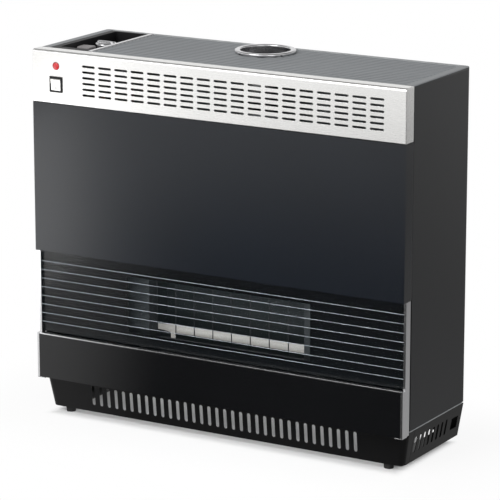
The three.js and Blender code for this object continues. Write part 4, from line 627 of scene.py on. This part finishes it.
# ---------------------------------------------------------------- outer glass with its print
def glass_parts():
    low, high = GLASS_LOW, GLASS_HIGH
    bm = bmesh.new()
    add_box(bm, low, (high.x, high.y - PRINT_DEPTH, high.z))
    pane = soften(make("glass_pane", bm, "tinted_glass"), PANE_EDGE, segments=3)

    # Black print on the rear face, in four fields round the clear window.
    fields = (
        ((low.x, low.z), (-WINDOW_HALF, high.z)),
        ((WINDOW_HALF, low.z), (high.x, high.z)),
        ((-WINDOW_HALF, low.z), (WINDOW_HALF, WINDOW_LOW)),
        ((-WINDOW_HALF, WINDOW_HIGH), (WINDOW_HALF, high.z)),
    )
    front = high.y - PRINT_DEPTH + PRINT_GAP
    bm = bmesh.new()
    for (x0, z0), (x1, z1) in fields:
        add_box(bm, (x0, front, z0), (x1, high.y, z1))
    bmesh.ops.remove_doubles(bm, verts=bm.verts, dist=PRINT_WELD)
    black = make("glass_print", bm, "tinted_glass", material=PRINT_BLACK)

    # Silver lines printed across the front face.
    bm = bmesh.new()
    for i in range(LINE_COUNT):
        z = LINE_TOP - i * LINE_PITCH
        add_box(bm, (low.x + LINE_MARGIN, low.y - LINE_RISE, z - LINE_WIDTH / 2),
                (high.x - LINE_MARGIN, low.y + PRINT_GAP, z + LINE_WIDTH / 2))
    lines = make("glass_lines", bm, "tinted_glass", material=PRINT_SILVER)
    for piece in (pane, black, lines):
        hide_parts("front_glass")


# ---------------------------------------------------------------- controls
def knob():
    x, y, _ = middle(KNOB_LOW, KNOB_HIGH)
    radius = (KNOB_HIGH.x - KNOB_LOW.x) / 2
    grip = KNOB_HIGH.z - KNOB_LOW.z
    dial = grip - KNOB_GRIP
    skirt = radius - KNOB_RIM_WIDTH
    rim = [(radius - inset * MM, dial - drop * MM) for inset, drop in KNOB_RIM]
    crown = [(skirt * math.cos(turn), dial + KNOB_CROWN * math.sin(turn))
             for turn in quarter(ARC_STEPS)[:-1]]
    bm = bmesh.new()
    add_turned(bm, [(0, KNOB_FLOOR), (skirt, KNOB_FLOOR), (skirt, 0), (radius, 0), *rim, *crown,
                    (0, dial + KNOB_CROWN)], (x, y, KNOB_LOW.z), KNOB_SIDES)
    dish = soften(make("knob_dial", bm, "bright_trim", "knob"), DIAL_EDGE, segments=3)

    levels = [(0, dial - PAST)]
    levels += [(inset * MM, grip - drop * MM) for inset, drop in GRIP_TOP]
    sections = []
    for inset, height in levels:
        outline = slot_outline(2 * radius - GRIP_SHORTER - 2 * inset, GRIP_WIDTH - 2 * inset, GRIP_STEPS)
        sections.append([(x + a, y + b, KNOB_LOW.z + height) for a, b in outline])
    bm = bmesh.new()
    add_skin(bm, sections)
    handle = soften(make("knob_grip", bm, "bright_trim", "knob"), GRIP_EDGE, CURVE_ANGLE)

    top = KNOB_LOW.z + grip
    bm = bmesh.new()
    add_box(bm, (x + radius - POINTER_START, y - POINTER_HALF, top - POINTER_DEPTH),
            (x + radius - POINTER_END, y + POINTER_HALF, top + POINTER_RISE))
    pointer = soften(make("knob_pointer", bm, "black_plastic", "knob"), POINTER_EDGE)
    for piece in (dish, handle, pointer):
        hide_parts("control_knob")


def igniter():
    low, high = BUTTON_LOW, BUTTON_HIGH
    x, y, _ = middle(low, high)
    sections = []
    for step in CAP_STEPS:
        inset, drop = (value * MM for value in step)
        corner = max(CAP_LEAST_CORNER, CAP_CORNER - inset)
        outline = rounded_outline(high.x - low.x - 2 * inset, high.y - low.y - 2 * inset, corner)
        sections.append([(x + a, y + b, high.z - drop) for a, b in outline])
    bm = bmesh.new()
    add_skin(bm, sections)
    cap = soften(make("igniter_cap", bm, "grey_plastic", "igniter"), CAP_EDGE, CURVE_ANGLE)

    cap_height = CAP_STEPS[0][1] * MM
    stem_top = high.z - cap_height - low.z + PAST
    profile = [(0, 0), (BUTTON_STEM, 0), (BUTTON_STEM, stem_top), (0, stem_top)]
    bm = bmesh.new()
    add_turned(bm, profile, (x, y, low.z), STEM_SIDES)
    rod = soften(make("igniter_stem", bm, "grey_plastic", "igniter"))
    for piece in (cap, rod):
        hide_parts("igniter_button")


def rocker_marks():
    """A stroke and a ring on the two halves of the rocker's face, tilted with it."""
    x, _, z = middle(BEZEL_LOW, BEZEL_HIGH)
    rocker = Matrix.Translation((x, FRONT + ROCKER_PIVOT, z)) @ Matrix.Rotation(ROCKER_TILT, 4, "X")
    stroke = bmesh.new()
    add_box(stroke, (-STROKE_HALF_WIDTH, -MARK_HALF, -STROKE_HALF_HEIGHT),
            (STROKE_HALF_WIDTH, MARK_HALF, STROKE_HALF_HEIGHT))
    ring = bmesh.new()
    add_turned(ring, [(RING_INNER, -MARK_HALF), (RING_OUTER, -MARK_HALF), (RING_OUTER, MARK_HALF),
                      (RING_INNER, MARK_HALF)], (0, 0, 0), MARK_SIDES, FORWARD)
    for name, bm, side in (("rocker_stroke", stroke, 1), ("rocker_ring", ring, -1)):
        seat = Matrix.Translation((0, -ROCKER_FACE, side * ROCKER_MIDDLE))
        bm.transform(rocker @ seat @ Matrix.Rotation(side * ROCKER_TILT, 4, "X"))
        make(name, bm, "white_plastic", "rocker", MARK_GREY)


def lamp():
    x, _, z = middle(LAMP_LOW, LAMP_HIGH)
    radius = (LAMP_HIGH.x - LAMP_LOW.x) / 2
    proud = FRONT - LAMP_LOW.y
    stem = radius - LAMP_FLANGE
    profile = [(0, -LAMP_STEM), (stem, -LAMP_STEM), (stem, -SHEET), (radius, -SHEET),
               (radius, proud * LAMP_FOOT)]
    for turn in quarter(ARC_STEPS)[1:-1]:
        height = LAMP_FOOT + (1 - LAMP_FOOT) * math.sin(turn)
        profile.append((radius * math.cos(turn), proud * height))
    profile.append((0, proud))
    bm = bmesh.new()
    add_turned(bm, profile, (x, FRONT, z), SMALL_SIDES, FORWARD)
    lens = soften(make("lamp_dome", bm, "red_lens"), CAP_EDGE, CURVE_ANGLE)
    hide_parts("lamp_lens")


# ---------------------------------------------------------------- flue
def flue():
    x, y, _ = middle(COLLAR_LOW, COLLAR_HIGH)
    outer = (COLLAR_HIGH.x - COLLAR_LOW.x) / 2
    sleeve = FLUE_BORE + FLUE_WALL
    low = COLLAR_LOW.z
    seat = TOP + FLUE_SEAT
    shoulder = COLLAR_HIGH.z - FLUE_ROLL
    profile = [(FLUE_BORE, low), (sleeve, low), (sleeve, seat), (outer, seat)]
    for turn in quarter(ROLL_STEPS):
        profile.append((outer - FLUE_ROLL + FLUE_ROLL * math.cos(turn),
                        shoulder + FLUE_ROLL * math.sin(turn)))
    for turn in quarter(ROLL_STEPS):
        profile.append((FLUE_BORE + FLUE_ROLL - FLUE_ROLL * math.sin(turn),
                        shoulder + FLUE_ROLL * math.cos(turn)))
    bm = bmesh.new()
    add_turned(bm, profile, (x, y, 0), FLUE_SIDES)
    collar = soften(make("flue_rim", bm, "bright_trim"), FLUE_EDGE, CURVE_ANGLE)
    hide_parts("flue_collar")

    outer = (DUCT_HIGH.x - DUCT_LOW.x) / 2
    inner = outer - FLUE_WALL
    lip = outer - DUCT_LIP
    low, stop = DUCT_LOW.z, DUCT_HIGH.z
    bm = bmesh.new()
    add_turned(bm, [(inner, low), (outer, low), (outer, stop), (lip, stop), (lip, stop - FLUE_WALL),
                    (inner, stop - FLUE_WALL)], (x, y, 0), FLUE_SIDES)
    duct = soften(make("flue_inner_duct", bm, "bright_trim"), FLUE_EDGE, CURVE_ANGLE)
    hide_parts("flue_duct")


# ---------------------------------------------------------------- plinth and feet
def plinth_outline(z, inset, rear):
    """Plan of the plinth at one height: round front corners and a square rear."""
    share = (z - PLINTH_LOW.z) / (PLINTH_HIGH.z - PLINTH_LOW.z)
    half = RIGHT - PLINTH_BOTTOM_INSET + share * (PLINTH_BOTTOM_INSET - PLINTH_TOP_INSET) - inset
    front = FRONT + PLINTH_BOTTOM_FRONT + share * (PLINTH_TOP_FRONT - PLINTH_BOTTOM_FRONT) + inset
    radius = PLINTH_CORNER - inset
    points = [(half, rear, z), (-half, rear, z)]
    for side, start in ((-1, math.pi), (1, 1.5 * math.pi)):
        for turn in quarter(ARC_STEPS):
            points.append((side * (half - radius) + radius * math.cos(start + turn),
                           front + radius + radius * math.sin(start + turn), z))
    return points


def plinth_holes():
    """Air slots, pipe cut-outs and stud holes."""
    bm = bmesh.new()
    level = (PLINTH_LOW.z + PLINTH_HIGH.z) / 2 + VENT_RISE
    outline = slot_outline(VENT_HEIGHT, VENT_WIDTH)
    depths = (FRONT + PLINTH_CORNER, FRONT + 3 * PLINTH_CORNER)
    for i in range(VENT_COUNT):
        x = (i - (VENT_COUNT - 1) / 2) * VENT_PITCH
        add_skin(bm, [[(x + b, y, level + a) for a, b in outline] for y in depths])
    slots = [(CORNER_VENT_AT, CORNER_VENT_WIDTH)]
    slots += [(SIDE_VENT_FIRST + i * VENT_PITCH, VENT_WIDTH) for i in range(SIDE_VENT_COUNT)]
    near, far, foot, head = PIPE_HOLE
    for side in (-1, 1):
        reach = [side * (RIGHT - PLINTH_FLANGE), side * (RIGHT + PAST)]
        for place, width in slots:
            outline = slot_outline(SIDE_VENT_HEIGHT, width)
            add_skin(bm, [[(x, FRONT + place + b, level + a) for a, b in outline] for x in reach])
        add_box(bm, (min(reach), FRONT + near, PLINTH_LOW.z + foot),
                (max(reach), FRONT + far, PLINTH_LOW.z + head))
    profile = [(0, -PAST), (STUD_HOLE, -PAST), (STUD_HOLE, 3 * SHEET), (0, 3 * SHEET)]
    for number in range(1, FOOT_COUNT + 1):
        x, y, _ = middle(*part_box(f"foot_{number}"))
        add_turned(bm, profile, (x, y, PLINTH_LOW.z), HOLE_SIDES)
    return bm


def plinth_shell():
    """The whole tapered plinth: a sheet shell, open at the bottom, the top and the rear."""
    low, high = PLINTH_LOW.z, PLINTH_HIGH.z
    bottom_half = RIGHT - PLINTH_BOTTOM_INSET
    top_half = RIGHT - PLINTH_TOP_INSET
    # Each opening: half width, front, foot and head.
    openings = (
        (bottom_half - PLINTH_FLANGE, FRONT + PLINTH_SEAM, low - PAST, low + 2 * SHEET),
        (top_half - PLINTH_LEDGE, FRONT + PLINTH_TOP_FRONT + PLINTH_LEDGE, high - 2 * SHEET, high + PAST),
        (bottom_half - PLINTH_RETURN, PLINTH_REAR - 2 * SHEET, low - PAST, high + PAST),
    )
    bm = bmesh.new()
    add_skin(bm, [plinth_outline(z, 0, PLINTH_REAR) for z in (low, high)])
    shell = make("plinth_shell", bm, "satin_black", body=None)
    for half, front, foot, head in openings:
        carve_box(shell, (-half, front, foot), (half, PLINTH_REAR + PAST, head))
    bm = bmesh.new()
    add_skin(bm, [plinth_outline(z, SHEET, PLINTH_REAR - SHEET) for z in (low + SHEET, high - SHEET)])
    carve(shell, bm)
    carve(shell, plinth_holes())
    return shell


def plinth():
    """Three sheets: the front with its corners, and the two sides behind the seam."""
    shell = plinth_shell()
    seam = FRONT + PLINTH_SEAM
    rear_part = ((-FAR, seam, 0), (FAR, FAR, FAR))
    front_part = ((-FAR, -FAR, 0), (FAR, seam + PLINTH_GAP, FAR))
    left_half = ((-FAR, -FAR, -FAR), (0, FAR, FAR))
    right_half = ((0, -FAR, -FAR), (FAR, FAR, FAR))
    away = {
        "plinth_front": [rear_part],
        "plinth_left": [front_part, right_half],
        "plinth_right": [front_part, left_half],
    }
    for node, boxes in away.items():
        bm = bmesh.new()
        bm.from_mesh(shell.data)
        # The plinth sheets take the darker copy of the satin black: painted shade.
        piece = make(f"fine_{node}", bm, "satin_black", material=PLINTH_SHADED_BLACK)
        for low, high in boxes:
            carve_box(piece, low, high)
        soften(piece, SHEET_EDGE, SEAM_ANGLE)
        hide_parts(node)
    bpy.data.objects.remove(shell)


def feet():
    for number in range(1, FOOT_COUNT + 1):
        low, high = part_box(f"foot_{number}")
        x, y, _ = middle(low, high)
        radius = (high.x - low.x) / 2
        rounding = [(radius - inset * MM, height * MM) for inset, height in FOOT_ROUNDING]
        bm = bmesh.new()
        add_turned(bm, [(0, 0), *rounding, (radius, FOOT_PAD - FOOT_CHAMFER),
                        (radius - FOOT_CHAMFER, FOOT_PAD), (FOOT_STUD, FOOT_PAD),
                        (FOOT_STUD, high.z), (0, high.z)], (x, y, 0), SMALL_SIDES)
        foot = soften(make(f"rubber_foot_{number}", bm, "black_rubber"), FOOT_EDGE, SEAM_ANGLE)
        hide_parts(f"foot_{number}")


# ---------------------------------------------------------------- carried-over solids
def dress_nodes():
    burner = MATERIALS["burner_steel"].node_tree.nodes["Principled BSDF"]
    # Painted light: the burner tube glows although it is no lamp.
    burner.inputs["Emission Color"].default_value = PAINTED_GLOW_COLOUR
    burner.inputs["Emission Strength"].default_value = PAINTED_GLOW
    for name, node in NODES.items():
        node.data.materials.clear()
        node.data.materials.append(WIRE_STEEL if name == "guard_wires" else MATERIALS[SLOTS[name]])
        # Upward faces of the side panels get the lighter top grey: painted sheen where light grazes their
        # dark top flanges.
        if name.startswith("side_panel"):
            node.data.materials.append(MATERIALS["top_grey"])
            for face in node.data.polygons:
                if face.normal.z > PAINTED_SHEEN_FACING:
                    face.material_index = 1
        if name not in FINE_NODES:
            soften(node, NODE_EDGE, SEAM_ANGLE, weld=True)


# ---------------------------------------------------------------- studio
def mapped(tree, value, near, far, low, high):
    """Maps a value smoothly from one range to another, held at both ends."""
    reach = tree.nodes.new("ShaderNodeMapRange")
    reach.interpolation_type = "SMOOTHSTEP"
    for key, number in (("From Min", near), ("From Max", far), ("To Min", low), ("To Max", high)):
        reach.inputs[key].default_value = number
    link(tree, value, reach.inputs["Value"])
    return reach.outputs["Result"]


def combined(tree, operation, first, second):
    node = tree.nodes.new("ShaderNodeMath")
    node.operation = operation
    link(tree, first, node.inputs[0])
    link(tree, second, node.inputs[1])
    return node.outputs[0]


def vector_math(tree, operation, source, operand=None):
    node = tree.nodes.new("ShaderNodeVectorMath")
    node.operation = operation
    link(tree, source, node.inputs[0])
    if operand:
        node.inputs[1].default_value = operand
    return node.outputs


def separated(tree, source):
    node = tree.nodes.new("ShaderNodeSeparateXYZ")
    link(tree, source, node.inputs["Vector"])
    return node.outputs


def ray_kinds(tree):
    """Rays that see a thing directly or through glass, and rays that see it in gloss."""
    path = tree.nodes.new("ShaderNodeLightPath")
    direct = combined(tree, "MAXIMUM", path.outputs["Is Camera Ray"], path.outputs["Is Transmission Ray"])
    return direct, path.outputs["Is Glossy Ray"]


def world():
    scene_world = bpy.data.worlds.new("studio")
    bpy.context.scene.world = scene_world
    scene_world.use_nodes = True
    tree = scene_world.node_tree
    ambient = tree.nodes["Background"]
    ambient.inputs["Color"].default_value = WHITE
    ambient.inputs["Strength"].default_value = AMBIENT
    # Camera, glass and gloss see a white sweep; in gloss it dims to the rear and the ceiling.
    place = tree.nodes.new("ShaderNodeTexCoord")
    axes = separated(tree, place.outputs["Generated"])
    direct, gloss = ray_kinds(tree)
    graded = combined(tree, "MULTIPLY", mapped(tree, axes["Z"], *CEILING_MIRRORED),
                      mapped(tree, axes["Y"], *REAR_MIRRORED))
    sweep = combined(tree, "MULTIPLY", gloss, graded)
    white = tree.nodes.new("ShaderNodeBackground")
    white.inputs["Color"].default_value = WHITE
    link(tree, combined(tree, "MAXIMUM", direct, sweep), white.inputs["Strength"])
    mix = tree.nodes.new("ShaderNodeMixShader")
    link(tree, combined(tree, "MAXIMUM", direct, gloss), mix.inputs["Fac"])
    link(tree, ambient.outputs["Background"], mix.inputs[1])
    link(tree, white.outputs["Background"], mix.inputs[2])
    link(tree, mix.outputs["Shader"], tree.nodes["World Output"].inputs["Surface"])


def floor_white(tree):
    """The floor's white share and its strength: seen directly it keeps its shadow, in gloss it is graded."""
    place = tree.nodes.new("ShaderNodeTexCoord").outputs["Object"]
    axes = separated(tree, place)
    size = vector_math(tree, "ABSOLUTE", place)["Vector"]
    sides = separated(tree, vector_math(tree, "SUBTRACT", size, (RIGHT, CAD_BOX[1][1], 0))["Vector"])
    outside = combined(tree, "MAXIMUM", sides["X"], sides["Y"])
    seen = combined(tree, "MULTIPLY", mapped(tree, outside, *FLOOR_UNDER), mapped(tree, outside, *FLOOR_SEEN))

    distance = vector_math(tree, "LENGTH", place)["Value"]
    front = combined(tree, "MULTIPLY", mapped(tree, distance, *FLOOR_MIRRORED),
                     mapped(tree, axes["X"], *FLOOR_RIGHT))
    reach = vector_math(tree, "DOT_PRODUCT", place, LEFT_SIDE)["Value"]
    left = mapped(tree, reach, *FLOOR_LEFT)
    beside = combined(tree, "MULTIPLY", mapped(tree, axes["Y"], *FLOOR_BESIDE),
                      mapped(tree, axes["X"], *BESIDE_FADE))
    graded = combined(tree, "MAXIMUM", combined(tree, "MAXIMUM", front, left), beside)

    direct, gloss = ray_kinds(tree)
    seen = combined(tree, "MULTIPLY", direct, seen)
    mirrored = combined(tree, "MULTIPLY", gloss, graded)
    return combined(tree, "MAXIMUM", seen, gloss), combined(tree, "MAXIMUM", direct, mirrored)


def floor():
    bm = bmesh.new()
    corners = ((-1, -1), (1, -1), (1, 1), (-1, 1))
    bm.faces.new([bm.verts.new((x * FLOOR_REACH, y * FLOOR_REACH, -FLOOR_DROP)) for x, y in corners])
    material, tree, shader = node_material("floor_white")
    shader.inputs["Base Color"].default_value = FLOOR_GREY
    shader.inputs["Roughness"].default_value = FLOOR_ROUGHNESS
    glow = tree.nodes.new("ShaderNodeEmission")
    mix = tree.nodes.new("ShaderNodeMixShader")
    share, strength = floor_white(tree)
    link(tree, share, mix.inputs["Fac"])
    link(tree, strength, glow.inputs["Strength"])
    link(tree, shader.outputs["BSDF"], mix.inputs[1])
    link(tree, glow.outputs["Emission"], mix.inputs[2])
    link(tree, mix.outputs["Shader"], tree.nodes["Material Output"].inputs["Surface"])
    plane = make("floor", bm, "white_plastic", body=None, material=material)


def lights():
    for name, (place, aim, size, power) in LIGHTS.items():
        data = bpy.data.lights.new(name, "AREA")
        data.shape = "RECTANGLE"
        data.size, data.size_y = size
        data.energy = power
        light = bpy.data.objects.new(name, data)
        bpy.context.scene.collection.objects.link(light)
        light.location = place
        direction = Vector(aim) - Vector(place)
        light.rotation_euler = direction.to_track_quat("-Z", "Y").to_euler()
        light.visible_camera = False
        light.visible_glossy = name != NOT_IN_GLOSS


def camera():
    data = bpy.data.cameras.new("photo_view")
    data.lens = CAMERA_LENS
    data.sensor_width = CAMERA_SENSOR
    camera_object = bpy.data.objects.new("photo_view", data)
    bpy.context.scene.collection.objects.link(camera_object)
    camera_object.location = CAMERA_PLACE
    camera_object.rotation_euler = (math.pi / 2 - CAMERA_PITCH, 0, CAMERA_TURN)
    bpy.context.scene.camera = camera_object


camera()
world()
floor()
lights()
bpy.context.scene.view_settings.view_transform = "Standard"

dress_nodes()
fascia()
glass_parts()
knob()
igniter()
lamp()
rocker_marks()
flue()
plinth()
feet()
